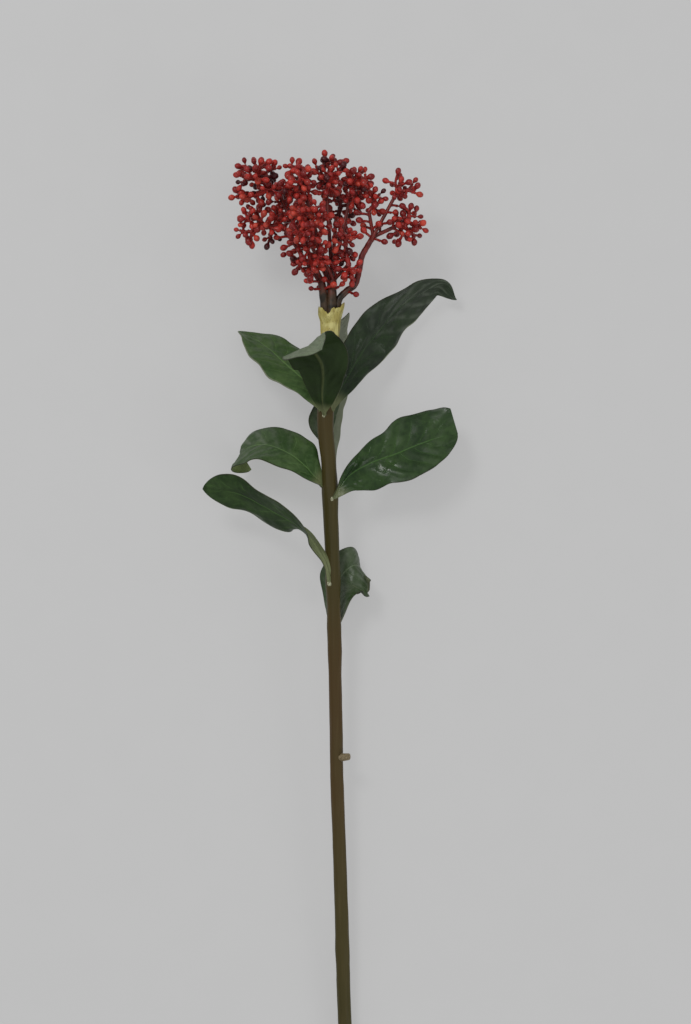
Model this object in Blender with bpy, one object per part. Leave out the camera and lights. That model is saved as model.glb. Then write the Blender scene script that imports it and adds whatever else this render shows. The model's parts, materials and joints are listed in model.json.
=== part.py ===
"""Artificial skimmia stem, cut flat and lying on a table with its leaves and its flower head.

The plant frame has x across the stem, y up the stem from the cut end and z out of the table,
in millimetres. One empty carries the whole plant, and its rotation and location lay it down.
"""
import math
import random

import bmesh
import bpy
from mathutils import Matrix, Vector
from mathutils.bvhtree import BVHTree

MM = 0.001

# Stem: places of its axis (x, y) and the radius there, from the cut end to the collar
STEM_AXIS = [(2.0, 0.0), (-1.5, 61.0), (-3.0, 106.0), (-4.3, 150.5), (-5.8, 195.5), (-6.7, 240.0),
             (-7.4, 274.0), (-7.8, 296.0), (-9.5, 350.0), (-10.7, 375.0), (-12.5, 397.0), (-10.0, 443.0)]
STEM_RADII = [3.9, 3.9, 3.9, 3.8, 3.8, 3.7, 3.8, 3.9, 4.3, 4.3, 4.5, 3.8]
STEM_SIDES = 10
STEM_STATIONS = 16

# Stub of a cut side shoot
STUB_HEIGHT = 208.0
STUB_RADIUS = 2.1
STUB_LENGTH = 4.2
STUB_GAP = 0.5
STUB_SHAPE = [(0.0, 1.0), (0.75, 0.95), (1.0, 0.6)]
STUB_SIDES = 8
STUB_HEADING = (0.80, 0.10, 0.60)

# Collar round the top of the stem
COLLAR_FOOT = (-10.0, 443.5)
COLLAR_MOUTH = (-9.0, 460.0)
COLLAR_FOOT_RADIUS = 4.9
COLLAR_WAIST = 0.55
COLLAR_WAIST_RADIUS = 5.0
COLLAR_MOUTH_RADIUS = 6.9
COLLAR_WALL = 0.9
COLLAR_WELL = 7.5
COLLAR_WELL_RADIUS = 4.8
COLLAR_RAGGED = 1.6
COLLAR_SIDES = 14

# Leaves: the line of the midrib, the turn of the blade about it at each place, the half widths to
# the left and right of it, the cup, and for each half how full it is at the foot and at the tip
# and how much of the outline is there before a blunt end
LEAF_THICKNESS = 1.0
LEAF_ROWS = 12
LEAF_COLUMNS = 4
LEAF_NECK = 0.7
LEAF_SEAT = 0.35
SEAT_PASSES = 3
LEAF_FULLNESS = ((1.05, 0.8, 1.0), (1.05, 0.8, 1.0))
LEAVES = {
    "leaf_top_left": dict(
        line=[(-16, 402, 5), (-23, 417, 6), (-34.5, 428, -5.5), (-45, 438, -15.5), (-54.5, 444.5, -22),
              (-62, 448, -25)],
        turns=[0, 10, 30, 35, 45, 55], halves=(15.5, 15), cup=5),
    "leaf_top_front": dict(
        line=[(-13, 400, 6), (-14, 410.5, 15), (-14, 426, 18.5), (-19, 435, 25.5), (-21.5, 436.5, 43),
              (-14, 434, 58)],
        turns=[165, 160, 165, 170, 185, 200], halves=(16.5, 16.5), cup=5),
    "leaf_top_right": dict(
        line=[(-7.5, 402, 3), (-1, 418, -2), (13, 441, -9), (30.5, 462, -16), (47.5, 472.5, -22),
              (55.5, 473.5, -25), (62, 466, -29)],
        turns=[35, 40, 48, 58, 68, 68, 50], halves=(18, 17), cup=5, full=((0.8, 1.25, 1.0), (1.05, 0.8, 1.0))),
    "leaf_top_rear": dict(
        line=[(-10.5, 403.5, -6), (-6.5, 416, -13.5), (-6.5, 431.5, -18.5), (-3, 448, -24.5), (1, 458.5, -27)],
        turns=[10, 35, 55, 65, 72], halves=(11.5, 11.5), cup=6),
    "leaf_middle_left": dict(
        line=[(-15.5, 360, 1.5), (-25, 371, 6), (-37.5, 380, 2), (-50, 383, -5), (-61, 378.5, -15),
              (-55, 369.5, -27)],
        turns=[35, 42, 40, 34, 22, 8], halves=(15.5, 17.5), cup=5, full=((1.05, 0.8, 1.0), (1.05, 1.5, 1.0))),
    "leaf_middle_right": dict(
        line=[(-7.5, 353, 5), (0, 364.5, 4), (12, 372.5, -1), (28.5, 378.5, -4), (46, 385.5, -8), (62, 390, -10)],
        turns=[45, 30, 10, -8, -10, -5], halves=(18.5, 18), cup=10, full=((1.5, 0.8, 0.86), (0.8, 0.6, 1.0))),
    "leaf_middle_rear": dict(
        line=[(-9.5, 359.5, -6), (-9, 374, -14), (-13.5, 393, -20), (-9.5, 409, -19.5), (-9, 423.5, -25),
              (-9.5, 437, -30)],
        turns=[65, 70, 50, 50, 35, 45], halves=(15, 15), cup=5),
    "leaf_low_left": dict(
        line=[(-11.5, 306.5, 5), (-14, 318, 8), (-21.5, 330.5, 12), (-29, 338.5, 15), (-44.5, 347.5, 11.5),
              (-61.5, 356, 7.5), (-81, 358.5, 4)],
        turns=[185, 235, 265, 295, 305, 315, 345], halves=(16.5, 15.5), cup=5,
        full=((1.2, 0.85, 1.0), (1.5, 0.7, 1.0))),
    "leaf_low_rear": dict(
        line=[(-4.5, 280, -5.5), (-4, 296.5, -14), (-3.5, 308.5, -12.5), (3.5, 315.5, -10.5), (7.5, 313, -18.5),
              (5.5, 299, -20.5)],
        turns=[-45, -50, -40, -15, -25, -40], halves=(13.5, 19), cup=5,
        full=((1.05, 1.5, 1.0), (1.05, 0.8, 1.0))),
}

# Flower head: places are given from the mouth of the collar
LIMB_GAP = 0.35
STALK_SIDES = 6
STALKS = {
    "stalk_left": dict(foot=(-2.6, -6.9, 0.2), tip=(-5.5, 14.0, 3.0), radii=(1.6, 1.6)),
    "stalk_middle": dict(foot=(0.1, -6.9, 2.55), tip=(0.5, 15.0, 2.0), radii=(1.6, 2.0)),
    "stalk_back": dict(foot=(-0.2, -6.9, -2.55), tip=(-0.5, 14.5, -6.0), radii=(1.5, 1.6)),
    "stalk_right": dict(foot=(2.4, -6.9, -0.2), tip=(4.3, 4.8, -0.3), radii=(1.5, 1.5)),
}
# Boughs: what each grows from, its seat beside the parent's axis (x, z), where it ends, how thick it is
BOUGHS = {
    "bough_right_low": dict(parent="stalk_right", seat=(0, 0), tip=(13.2, 13.0, 0.0), radii=(1.5, 1.3)),
    "bough_right_middle": dict(parent="bough_right_low", seat=(0, 0), tip=(17.0, 28.5, 0.0), radii=(1.3, 1.2)),
    "bough_right_high": dict(parent="bough_right_middle", seat=(0, 0), tip=(23.5, 40.0, 0.0), radii=(1.15, 1.0)),
    "bough_low_left": dict(parent="stalk_left", seat=(0.2, 1.3), tip=(-9.0, 21.0, 8.5), radii=(0.85, 0.75)),
    "bough_lower_left": dict(parent="stalk_left", seat=(-1.3, -0.2), tip=(-24.5, 41.0, 3.0), radii=(0.9, 0.75)),
    "bough_upper_left": dict(parent="stalk_left", seat=(0.4, -1.3), tip=(-28.0, 60.5, -3.0), radii=(0.9, 0.75)),
    "bough_centre_front": dict(parent="stalk_middle", seat=(0, 1.5), tip=(-9.0, 36.5, 17.0), radii=(0.85, 0.75)),
    "bough_top_left": dict(parent="stalk_middle", seat=(-1.5, 0), tip=(-13.0, 57.0, 6.0), radii=(0.85, 0.75)),
    "bough_top": dict(parent="stalk_middle", seat=(0, -1.5), tip=(-2.5, 61.0, -3.0), radii=(0.85, 0.75)),
    "bough_low_right": dict(parent="stalk_middle", seat=(1.5, 0), tip=(7.5, 21.5, 6.0), radii=(0.85, 0.75)),
    "bough_back_left": dict(parent="stalk_back", seat=(-1.2, -0.7), tip=(-16.0, 46.0, -19.0), radii=(0.9, 0.75)),
    "bough_back_right": dict(parent="stalk_back", seat=(0.7, -1.3), tip=(2.0, 45.5, -21.0), radii=(0.9, 0.75)),
    "bough_top_right": dict(parent="stalk_back", seat=(0.7, 1.1), tip=(9.5, 57.5, -6.0), radii=(0.85, 0.75)),
    "bough_right_lower": dict(parent="bough_right_high", seat=(1.2, -0.3), tip=(36.0, 45.5, 0.0), radii=(0.9, 0.75)),
    "bough_right_upper": dict(parent="bough_right_high", seat=(0, 1.35), tip=(33.5, 58.5, 0.0), radii=(0.8, 0.7)),
    "bough_right_inner": dict(parent="bough_right_high", seat=(-1.1, -0.3), tip=(21.5, 51.0, 0.0), radii=(0.8, 0.7)),
}
# Masses of buds: the bough that each grows from, its centre, its reach and its number of buds
MASSES = {
    "buds_upper_left": dict(bough="bough_upper_left", centre=(-41, 69, 4), reach=(20, 18, 17), buds=29, seed=3),
    "buds_lower_left": dict(bough="bough_lower_left", centre=(-39, 49, 1), reach=(18, 17, 16), buds=27, seed=5),
    "buds_top_left": dict(bough="bough_top_left", centre=(-19, 70, 9), reach=(13, 15, 15), buds=22, seed=1),
    "buds_top": dict(bough="bough_top", centre=(-1, 75, 0), reach=(13, 16, 16), buds=22, seed=2),
    "buds_top_right": dict(bough="bough_top_right", centre=(13, 68, -2), reach=(14, 13, 15), buds=20, seed=4),
    "buds_centre_front": dict(bough="bough_centre_front", centre=(-13, 46, 22), reach=(15, 15, 14), buds=22,
                              seed=6),
    "buds_low_left": dict(bough="bough_low_left", centre=(-12, 30, 10), reach=(15, 17, 13), buds=19, seed=7),
    "buds_low_right": dict(bough="bough_low_right", centre=(8, 31, 7), reach=(11, 22, 11), buds=18, seed=8),
    "buds_right_upper": dict(bough="bough_right_upper", centre=(39, 68, 0), reach=(14, 11, 8), buds=11, seed=9),
    "buds_right_lower": dict(bough="bough_right_lower", centre=(42, 45, 0), reach=(14, 15, 9), buds=16, seed=10),
    "buds_right_inner": dict(bough="bough_right_inner", centre=(26, 58, 0), reach=(10, 13, 8), buds=9, seed=11),
    "buds_back_left": dict(bough="bough_back_left", centre=(-23, 60, -25), reach=(17, 17, 16), buds=18, seed=12),
    "buds_back_right": dict(bough="bough_back_right", centre=(4, 60, -26), reach=(17, 17, 16), buds=18, seed=13),
}
BUD_SPACING = 6.1
BUD_RADIUS = 2.3
BUD_SIDES = 3
BUD_LENGTH = 5.2
PEDICEL_RADIUS = 0.55
KNUCKLE_RADIUS = 1.5
PEDICEL_LENGTH = 4.0
BUD_TRIES = 3000
BUD_STANDOFF = 1.0
BUD_HALF_CORE = 0.8
BUD_WAIST = 0.3
TWIG_SIDES = 3
TWIG_GROWTH = 0.13
TWIG_SHARE = 0.45
TWIG_SHORTEST = 1.2
ROOT_LENGTH = 2.5
ROOT_SIDES = 4
CELL_MARGIN = 0.5
CLEARANCE = 0.4

# Lying down: the cut end, the middle rear leaf and the tip of the middle left leaf touch the table
LIE_TILT = 4.05
LIE_ROLL = -2.3

STEM_GREEN = (0.055, 0.040, 0.014)
LEAF_GREEN = (0.022, 0.055, 0.018)
BUD_RED = (0.165, 0.014, 0.012)
STALK_BROWN = (0.050, 0.016, 0.012)
COLLAR_CREAM = (0.52, 0.49, 0.17)
STUB_TAN = (0.16, 0.12, 0.065)


def clear_scene():
    for thing in list(bpy.data.objects):
        bpy.data.objects.remove(thing, do_unlink=True)


def material(name, colour, roughness):
    paint = bpy.data.materials.new(name)
    paint.use_nodes = True
    shader = paint.node_tree.nodes["Principled BSDF"]
    shader.inputs["Base Color"].default_value = (*colour, 1.0)
    shader.inputs["Roughness"].default_value = roughness
    return paint


def add_object(name, points, faces, paint, plant, smooth=True):
    """One object from points in millimetres, carried by the plant's empty."""
    mesh = bpy.data.meshes.new(name)
    mesh.from_pydata([Vector(p) * MM for p in points], [], faces)
    mesh.materials.append(paint)
    if smooth:
        mesh.shade_smooth()
        mesh.set_sharp_from_angle(angle=math.radians(50))
    thing = bpy.data.objects.new(name, mesh)
    bpy.context.scene.collection.objects.link(thing)
    thing.parent = plant
    return thing


def smooth_values(values, steps):
    """A Catmull-Rom curve through numbers or points, with steps between each pair."""
    ends = [2 * values[0] - values[1], *values, 2 * values[-1] - values[-2]]
    curve = []
    for i in range(len(values) - 1):
        a, b, c, d = ends[i:i + 4]
        for k in range(steps):
            t = k / steps
            curve.append(0.5 * (2 * b + (c - a) * t + (2 * a - 5 * b + 4 * c - d) * t * t
                                + (3 * b - a - 3 * c + d) * t ** 3))
    curve.append(values[-1])
    return curve


def even_stations(line, others, count):
    """Points spaced evenly along a fine line, with the other values there."""
    lengths = [0.0]
    for a, b in zip(line, line[1:]):
        lengths.append(lengths[-1] + (b - a).length)
    places, values = [], []
    k = 0
    for i in range(count):
        want = lengths[-1] * i / (count - 1)
        while k < len(line) - 2 and lengths[k + 1] < want:
            k += 1
        t = (want - lengths[k]) / (lengths[k + 1] - lengths[k])
        places.append(line[k].lerp(line[k + 1], t))
        values.append(others[k] + (others[k + 1] - others[k]) * t)
    return places, values


def headings(line):
    """Unit direction at each point of a line."""
    found = []
    for i in range(len(line)):
        before = line[max(i - 1, 0)]
        after = line[min(i + 1, len(line) - 1)]
        found.append((after - before).normalized())
    return found


def ring(centre, across, up, radius, sides):
    return [centre + (across * math.cos(math.tau * k / sides) + up * math.sin(math.tau * k / sides)) * radius
            for k in range(sides)]


def tube_mesh(line, radii, sides):
    """Points and faces of a closed round limb along a line."""
    along = headings(line)
    across = along[0].cross(Vector((0, 0, 1)))
    if across.length < 0.2:
        across = along[0].cross(Vector((1, 0, 0)))
    points, faces = [], []
    for i, centre in enumerate(line):
        across = (across - along[i] * across.dot(along[i])).normalized()
        up = along[i].cross(across)
        points += ring(centre, across, up, radii[i], sides)
        if i:
            low = (i - 1) * sides
            for k in range(sides):
                n = (k + 1) % sides
                faces.append((low + k, low + n, low + sides + n, low + sides + k))
    faces.append(tuple(reversed(range(sides))))
    faces.append(tuple(range(len(points) - sides, len(points))))
    return points, faces


def stem_line():
    """The stem's axis and radius at even stations, from the cut end up."""
    axis = smooth_values([Vector((x, y, 0.0)) for x, y in STEM_AXIS], 3)
    radii = smooth_values(STEM_RADII, 3)
    return even_stations(axis, radii, STEM_STATIONS)


def stem_place(height):
    """Centre and radius of the stem at a height."""
    line, radii = stem_line()
    for a, b, r, s in zip(line, line[1:], radii, radii[1:]):
        if a.y <= height <= b.y:
            t = (height - a.y) / (b.y - a.y)
            return a.lerp(b, t), r + (s - r) * t
    return line[-1], radii[-1]


def build_stem(plant, paint):
    line, radii = stem_line()
    add_object("stem", *tube_mesh(line, radii, STEM_SIDES), paint, plant)


def build_stub(plant, paint):
    centre, radius = stem_place(STUB_HEIGHT)
    heading = Vector(STUB_HEADING).normalized()
    line = [centre + heading * (radius + STUB_GAP + STUB_LENGTH * along) for along, _ in STUB_SHAPE]
    radii = [STUB_RADIUS * share for _, share in STUB_SHAPE]
    add_object("stub", *tube_mesh(line, radii, STUB_SIDES), paint, plant)


def collar_rim(angle):
    """How far the ragged rim stands above or below the mouth."""
    return COLLAR_RAGGED * (0.9 * math.cos(angle) + 0.6 * math.cos(2 * angle + 0.5) + 0.35 * math.sin(5 * angle))


def build_collar(plant, paint):
    foot = Vector((*COLLAR_FOOT, 0.0))
    mouth = Vector((*COLLAR_MOUTH, 0.0))
    floor = mouth - Vector((0, COLLAR_WELL, 0))
    inner = COLLAR_MOUTH_RADIUS - COLLAR_WALL
    rings = [(foot, COLLAR_FOOT_RADIUS, 0.0), (foot.lerp(mouth, COLLAR_WAIST), COLLAR_WAIST_RADIUS, 0.0),
             (mouth, COLLAR_MOUTH_RADIUS, 1.0), (mouth, inner, 1.0), (floor, COLLAR_WELL_RADIUS, 0.0)]
    points, faces = [], []
    for n, (centre, radius, rag) in enumerate(rings):
        for k in range(COLLAR_SIDES):
            angle = math.tau * k / COLLAR_SIDES
            out = Vector((math.cos(angle), 0.0, math.sin(angle)))
            points.append(centre + out * radius + Vector((0, rag * collar_rim(angle), 0)))
            if n:
                low = (n - 1) * COLLAR_SIDES
                m = (k + 1) % COLLAR_SIDES
                faces.append((low + k, low + COLLAR_SIDES + k, low + COLLAR_SIDES + m, low + m))
    faces.append(tuple(range(COLLAR_SIDES)))
    faces.append(tuple(reversed(range(len(points) - COLLAR_SIDES, len(points)))))
    add_object("collar", points, faces, paint, plant)


def leaf_outline(s, base, tip, end):
    """Half width of a blade at s of its length, 1 at the widest."""
    peak = base / (base + tip)
    return (s * end) ** base * (1 - s * end) ** tip / (peak ** base * (1 - peak) ** tip)


def leaf_rows(line, turns, halves, cup, full=LEAF_FULLNESS):
    """Rows of (point, upward normal) across a blade, from its foot to its tip."""
    fine = smooth_values([Vector(p) for p in line], 12)
    fine_turns = smooth_values([float(t) for t in turns], 12)
    ribs, ribs_turn = even_stations(fine, fine_turns, LEAF_ROWS + 1)
    along = headings(ribs)
    side = along[0].cross(Vector((0, 0, 1))).normalized()
    tilt = math.radians(cup)
    rows = []
    for i, centre in enumerate(ribs):
        side = (side - along[i] * side.dot(along[i])).normalized()
        turned = Matrix.Rotation(math.radians(ribs_turn[i]), 3, along[i]) @ side
        up = turned.cross(along[i])
        reach = [max(leaf_outline(i / LEAF_ROWS, *f) * h, LEAF_NECK) for h, f in zip(halves, full)]
        row = []
        for k in range(LEAF_COLUMNS + 1):
            across = 2 * k / LEAF_COLUMNS - 1
            half = reach[0] if across < 0 else reach[1]
            point = centre + turned * (across * half * math.cos(tilt)) + up * (abs(across) * half * math.sin(tilt))
            row.append((point, up))
        rows.append(row)
    return rows


def seat_leaf(rows, stem):
    """Draws a leaf's foot to its seat on the stem, and the rest of the blade less and less."""
    fade = [(1 - i / LEAF_ROWS) ** 2 for i in range(len(rows))]
    for _ in range(SEAT_PASSES):
        gap, way, station = LEAF_SEAT + 100, None, 0
        for i, row in enumerate(rows):
            for point, up in row:
                for skin in (point + up * (LEAF_THICKNESS / 2), point - up * (LEAF_THICKNESS / 2)):
                    touch, _, _, apart = stem.find_nearest(skin)
                    if apart < gap:
                        gap, way, station = apart, (touch - skin).normalized(), i
        shift = way * ((gap - LEAF_SEAT) / fade[station])
        rows = [[(point + shift * fade[i], up) for point, up in row] for i, row in enumerate(rows)]
    return rows


def build_leaf(name, spec, stem, plant, paint):
    """A closed thin blade: an upper face, a lower face and the rim between them."""
    rows = seat_leaf(leaf_rows(**spec), stem)
    across = LEAF_COLUMNS + 1
    count = len(rows) * across
    upper = [p + n * (LEAF_THICKNESS / 2) for row in rows for p, n in row]
    lower = [p - n * (LEAF_THICKNESS / 2) for row in rows for p, n in row]
    faces = []
    for i in range(len(rows) - 1):
        for k in range(LEAF_COLUMNS):
            a = i * across + k
            quad = (a, a + 1, a + across + 1, a + across)
            faces.append(quad)
            faces.append(tuple(count + v for v in reversed(quad)))
    rim = [k for k in range(LEAF_COLUMNS)]
    rim += [i * across + LEAF_COLUMNS for i in range(len(rows) - 1)]
    rim += [count - 1 - k for k in range(LEAF_COLUMNS)]
    rim += [i * across for i in range(len(rows) - 1, 0, -1)]
    for a, b in zip(rim, rim[1:] + rim[:1]):
        faces.append((b, a, count + a, count + b))
    add_object(name, upper + lower, faces, paint, plant)


def segment_gap(a, b, c, d):
    """Shortest distance between the segments a to b and c to d."""
    u, v, w = b - a, d - c, a - c
    uu, uv, vv, uw, vw = u.dot(u), u.dot(v), v.dot(v), u.dot(w), v.dot(w)
    down = uu * vv - uv * uv
    s = min(max((uv * vw - vv * uw) / down, 0.0), 1.0) if down > 1e-9 else 0.0
    t = min(max((uv * s + vw) / vv, 0.0), 1.0) if vv > 1e-9 else 0.0
    s = min(max((uv * t - uw) / uu, 0.0), 1.0) if uu > 1e-9 else 0.0
    return (w + u * s - v * t).length


def plan_limbs():
    """Foot, tip and radii of each stalk and bough, every child starting just clear of its parent."""
    mouth = Vector((*COLLAR_MOUTH, 0.0))
    limbs = {}
    for name, spec in STALKS.items():
        limbs[name] = (mouth + Vector(spec["foot"]), mouth + Vector(spec["tip"]), *spec["radii"])
    for name, spec in BOUGHS.items():
        foot, tip = limbs[spec["parent"]][:2]
        along = (tip - foot).normalized()
        aim = mouth + Vector(spec["tip"])
        side = Vector((spec["seat"][0], 0.0, spec["seat"][1]))
        lean = math.sin((aim - tip).angle(along))
        start = tip + along * (LIMB_GAP + spec["radii"][0] * lean) + side - along * side.dot(along)
        limbs[name] = (start, aim, *spec["radii"])
    return limbs


def build_limbs(limbs, plant, paint):
    for name, (foot, tip, thick, thin) in limbs.items():
        add_object(name, *tube_mesh([foot, tip], [thick, thin], STALK_SIDES), paint, plant)


def cell_room(point, name, centres):
    """How far a point lies inside the space nearer to its own mass's centre than to any other."""
    own = centres[name]
    room = 100.0
    for other, centre in centres.items():
        if other != name:
            apart = centre - own
            room = min(room, ((own + centre) / 2 - point).dot(apart.normalized()))
    return room


def scatter_buds(name, spec, centres, limbs, taken):
    """Seeded bud places in the outer part of a mass's space, spaced apart and clear of the limbs."""
    chance = random.Random(spec["seed"])
    centre = centres[name]
    found = []
    for _ in range(BUD_TRIES):
        if len(found) == spec["buds"]:
            break
        way = Vector([chance.gauss(0, 1) for _ in range(3)]).normalized()
        depth = (0.15 + 0.85 * chance.random()) ** 0.5
        offset = Vector([way[i] * (spec["reach"][i] - BUD_RADIUS) * depth for i in range(3)])
        place = centre + offset
        if any((place - other).length < BUD_SPACING for other in found + taken):
            continue
        if cell_room(place, name, centres) < CELL_MARGIN:
            continue
        if any(segment_gap(place, place, foot, tip) < thick + BUD_RADIUS + BUD_STANDOFF
               for foot, tip, thick, _ in limbs.values()):
            continue
        found.append(place)
    return found


def split_buds(places, fork, parts):
    """Groups of buds that lie the same way from a fork."""
    ways = [(p - fork).normalized() for p in places]
    seeds = [0]
    while len(seeds) < parts:
        spread = [min((w - ways[s]).length for s in seeds) for w in ways]
        seeds.append(spread.index(max(spread)))
    groups = [[] for _ in seeds]
    for place, way in zip(places, ways):
        near = [(way - ways[s]).length for s in seeds]
        groups[near.index(min(near))].append(place)
    return [group for group in groups if group]


def twig_radius(carried):
    return PEDICEL_RADIUS + TWIG_GROWTH * (math.sqrt(carried) - 1)


def grow(start, places, twigs, buds):
    """Branches from a start to all the buds: each twig forks in two or three, down to single buds."""
    if len(places) == 1:
        buds.append((start, places[0]))
        return
    middle = sum(places, Vector()) / len(places)
    away = middle - start
    if len(places) <= 3:
        step = max(away.length - PEDICEL_LENGTH, 0.0)
    else:
        step = away.length * TWIG_SHARE
    fork = start
    if step > TWIG_SHORTEST:
        fork = start + away.normalized() * step
        twigs.append((start, fork, len(places), places))
    for group in split_buds(places, fork, 3 if len(places) > 2 else 2):
        grow(fork, group, twigs, buds)


def mass_capsules(root, twigs, buds):
    """Every twig and bud as a segment, a radius and the buds that hang on it."""
    every = [b for _, b in buds]
    capsules = [(root[0], root[1], root[2], every)]
    capsules += [(a, b, twig_radius(n), carried) for a, b, n, carried in twigs]
    for fork, place in buds:
        way = (place - fork).normalized()
        capsules.append((fork, place, PEDICEL_RADIUS, [place]))
        capsules.append((place - way * BUD_HALF_CORE, place + way * BUD_HALF_CORE, BUD_RADIUS, [place]))
    return capsules


def clashing_buds(capsules, obstacles):
    """Buds to give up, because what carries them comes too near something else."""
    for a, b, radius, carried in capsules:
        for c, d, other in obstacles:
            reach = radius + other + CLEARANCE
            if (a + b - c - d).length / 2 > reach + ((a - b).length + (c - d).length) / 2:
                continue
            if segment_gap(a, b, c, d) < reach:
                return carried if len(carried) <= 3 else carried[:2]
    return []


def plan_masses(limbs):
    """Root, twigs and buds of every mass, each clear of the limbs and of the masses before it."""
    mouth = Vector((*COLLAR_MOUTH, 0.0))
    centres = {name: mouth + Vector(spec["centre"]) for name, spec in MASSES.items()}
    obstacles = [(foot, tip, thick) for foot, tip, thick, _ in limbs.values()]
    plans, taken = {}, []
    for name, spec in MASSES.items():
        foot, tip, _, thin = limbs[spec["bough"]]
        along = (tip - foot).normalized()
        root = (tip + along * LIMB_GAP, tip + along * (LIMB_GAP + ROOT_LENGTH), thin)
        places = scatter_buds(name, spec, centres, limbs, taken)
        others = [item for item in obstacles if item[:2] != (foot, tip)]
        while True:
            twigs, buds = [], []
            grow(root[1], places, twigs, buds)
            capsules = mass_capsules(root, twigs, buds)
            lost = clashing_buds(capsules[1:], others)
            if not lost or len(places) <= len(lost) + 2:
                break
            places = [p for p in places if p not in lost]
        plans[name] = (root, twigs, buds)
        taken += places
        obstacles += [capsule[:3] for capsule in capsules]
    return plans


def knuckle_mesh(centre, radius):
    """The swelling at a fork, an octahedron."""
    ways = [(1, 0, 0), (0, 1, 0), (-1, 0, 0), (0, -1, 0), (0, 0, 1), (0, 0, -1)]
    points = [centre + Vector(way) * radius for way in ways]
    faces = [(k, (k + 1) % 4, 4) for k in range(4)] + [((k + 1) % 4, k, 5) for k in range(4)]
    return points, faces


def bud_mesh(fork, place):
    """A pedicel and its bud as one few-sided club, from the fork to the bud's tip."""
    way = (place - fork).normalized()
    rise = BUD_LENGTH / 2
    stops = [(fork, PEDICEL_RADIUS), (place - way * rise, PEDICEL_RADIUS), (place + way * BUD_WAIST, BUD_RADIUS)]
    across = way.orthogonal().normalized()
    up = way.cross(across)
    points, faces = [], []
    for i, (centre, radius) in enumerate(stops):
        points += ring(centre, across, up, radius, BUD_SIDES)
        if i:
            low = (i - 1) * BUD_SIDES
            for k in range(BUD_SIDES):
                n = (k + 1) % BUD_SIDES
                faces.append((low + k, low + n, low + BUD_SIDES + n, low + BUD_SIDES + k))
    points.append(place + way * rise)
    top, last = len(points) - 1, len(points) - 1 - BUD_SIDES
    faces.append(tuple(reversed(range(BUD_SIDES))))
    faces += [(last + k, last + (k + 1) % BUD_SIDES, top) for k in range(BUD_SIDES)]
    return points, faces


def keep_largest_shell(mesh):
    """Drops scraps and inner shells from a fused mesh."""
    work = bmesh.new()
    work.from_mesh(mesh)
    left = set(work.verts)
    shells = []
    while left:
        shell = {left.pop()}
        edge = list(shell)
        while edge:
            vert = edge.pop()
            for link in vert.link_edges:
                other = link.other_vert(vert)
                if other in left:
                    left.discard(other)
                    shell.add(other)
                    edge.append(other)
        shells.append(shell)
    shells.sort(key=len, reverse=True)
    for shell in shells[1:]:
        bmesh.ops.delete(work, geom=list(shell), context="VERTS")
    work.to_mesh(mesh)
    work.free()


def build_mass(name, root, twigs, buds, plant, paint):
    """Fuses a mass's root, twigs and buds into one closed solid."""
    start, end, thick = root
    trunk = tube_mesh([start, end], [thick, twig_radius(len(buds))], ROOT_SIDES)
    body = add_object(name, *trunk, paint, plant, smooth=False)
    extras = bpy.data.collections.new(name + "_extras")
    bpy.context.scene.collection.children.link(extras)
    shapes = []
    forks = [end] + [fork for _, fork, _, _ in twigs]
    for a, b, carried, _ in twigs:
        thin = twig_radius(carried)
        shapes.append(tube_mesh([a, b], [thin, thin], TWIG_SIDES))
    shapes += [knuckle_mesh(fork, KNUCKLE_RADIUS) for fork in forks]
    shapes += [bud_mesh(fork, place) for fork, place in buds]
    for points, faces in shapes:
        piece = add_object(name + "_piece", points, faces, paint, plant, smooth=False)
        bpy.context.scene.collection.objects.unlink(piece)
        extras.objects.link(piece)
    fuse = body.modifiers.new("fuse", "BOOLEAN")
    fuse.operation = "UNION"
    fuse.operand_type = "COLLECTION"
    fuse.collection = extras
    fuse.solver = "MANIFOLD"
    bpy.context.view_layer.update()
    seen = body.evaluated_get(bpy.context.evaluated_depsgraph_get())
    fused = bpy.data.meshes.new_from_object(seen)
    body.modifiers.clear()
    body.data = fused
    for piece in list(extras.objects):
        bpy.data.objects.remove(piece, do_unlink=True)
    bpy.data.collections.remove(extras)
    keep_largest_shell(fused)


def lay_down(plant):
    """Turns the plant to its lying pose and sets it down, centred, on the table."""
    plant.rotation_euler = (math.radians(LIE_TILT), math.radians(LIE_ROLL), 0.0)
    bpy.context.view_layer.update()
    corners = [thing.matrix_world @ vert.co for thing in plant.children for vert in thing.data.vertices]
    low = [min(c[i] for c in corners) for i in range(3)]
    high = [max(c[i] for c in corners) for i in range(3)]
    plant.location = (-(low[0] + high[0]) / 2, -(low[1] + high[1]) / 2, -low[2])


def main():
    clear_scene()
    plant = bpy.data.objects.new("skimmia", None)
    bpy.context.scene.collection.objects.link(plant)
    stalk_paint = material("stalk", STALK_BROWN, 0.5)
    bud_paint = material("bud", BUD_RED, 0.5)
    leaf_paint = material("leaf", LEAF_GREEN, 0.35)
    build_stem(plant, material("stem", STEM_GREEN, 0.55))
    build_stub(plant, material("stub", STUB_TAN, 0.8))
    build_collar(plant, material("collar", COLLAR_CREAM, 0.6))
    stem_surface = BVHTree.FromPolygons(*tube_mesh(*stem_line(), STEM_SIDES))
    for name, spec in LEAVES.items():
        build_leaf(name, spec, stem_surface, plant, leaf_paint)
    limbs = plan_limbs()
    build_limbs(limbs, plant, stalk_paint)
    for name, (root, twigs, buds) in plan_masses(limbs).items():
        build_mass(name, root, twigs, buds, plant, bud_paint)
    lay_down(plant)


main()
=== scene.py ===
# %% [markdown]
# # An artificial skimmia, lying on a table
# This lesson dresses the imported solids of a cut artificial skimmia: a plastic stem, leaves of coated cloth,
# a cream collar and an open head of small red buds on forking twigs. The solids hold the sizes and the
# collision. Here each of them is replaced by a finer mesh that grows by the same rule from the same sizes.

# %% Load the frame
import json
import math
import random

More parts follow.
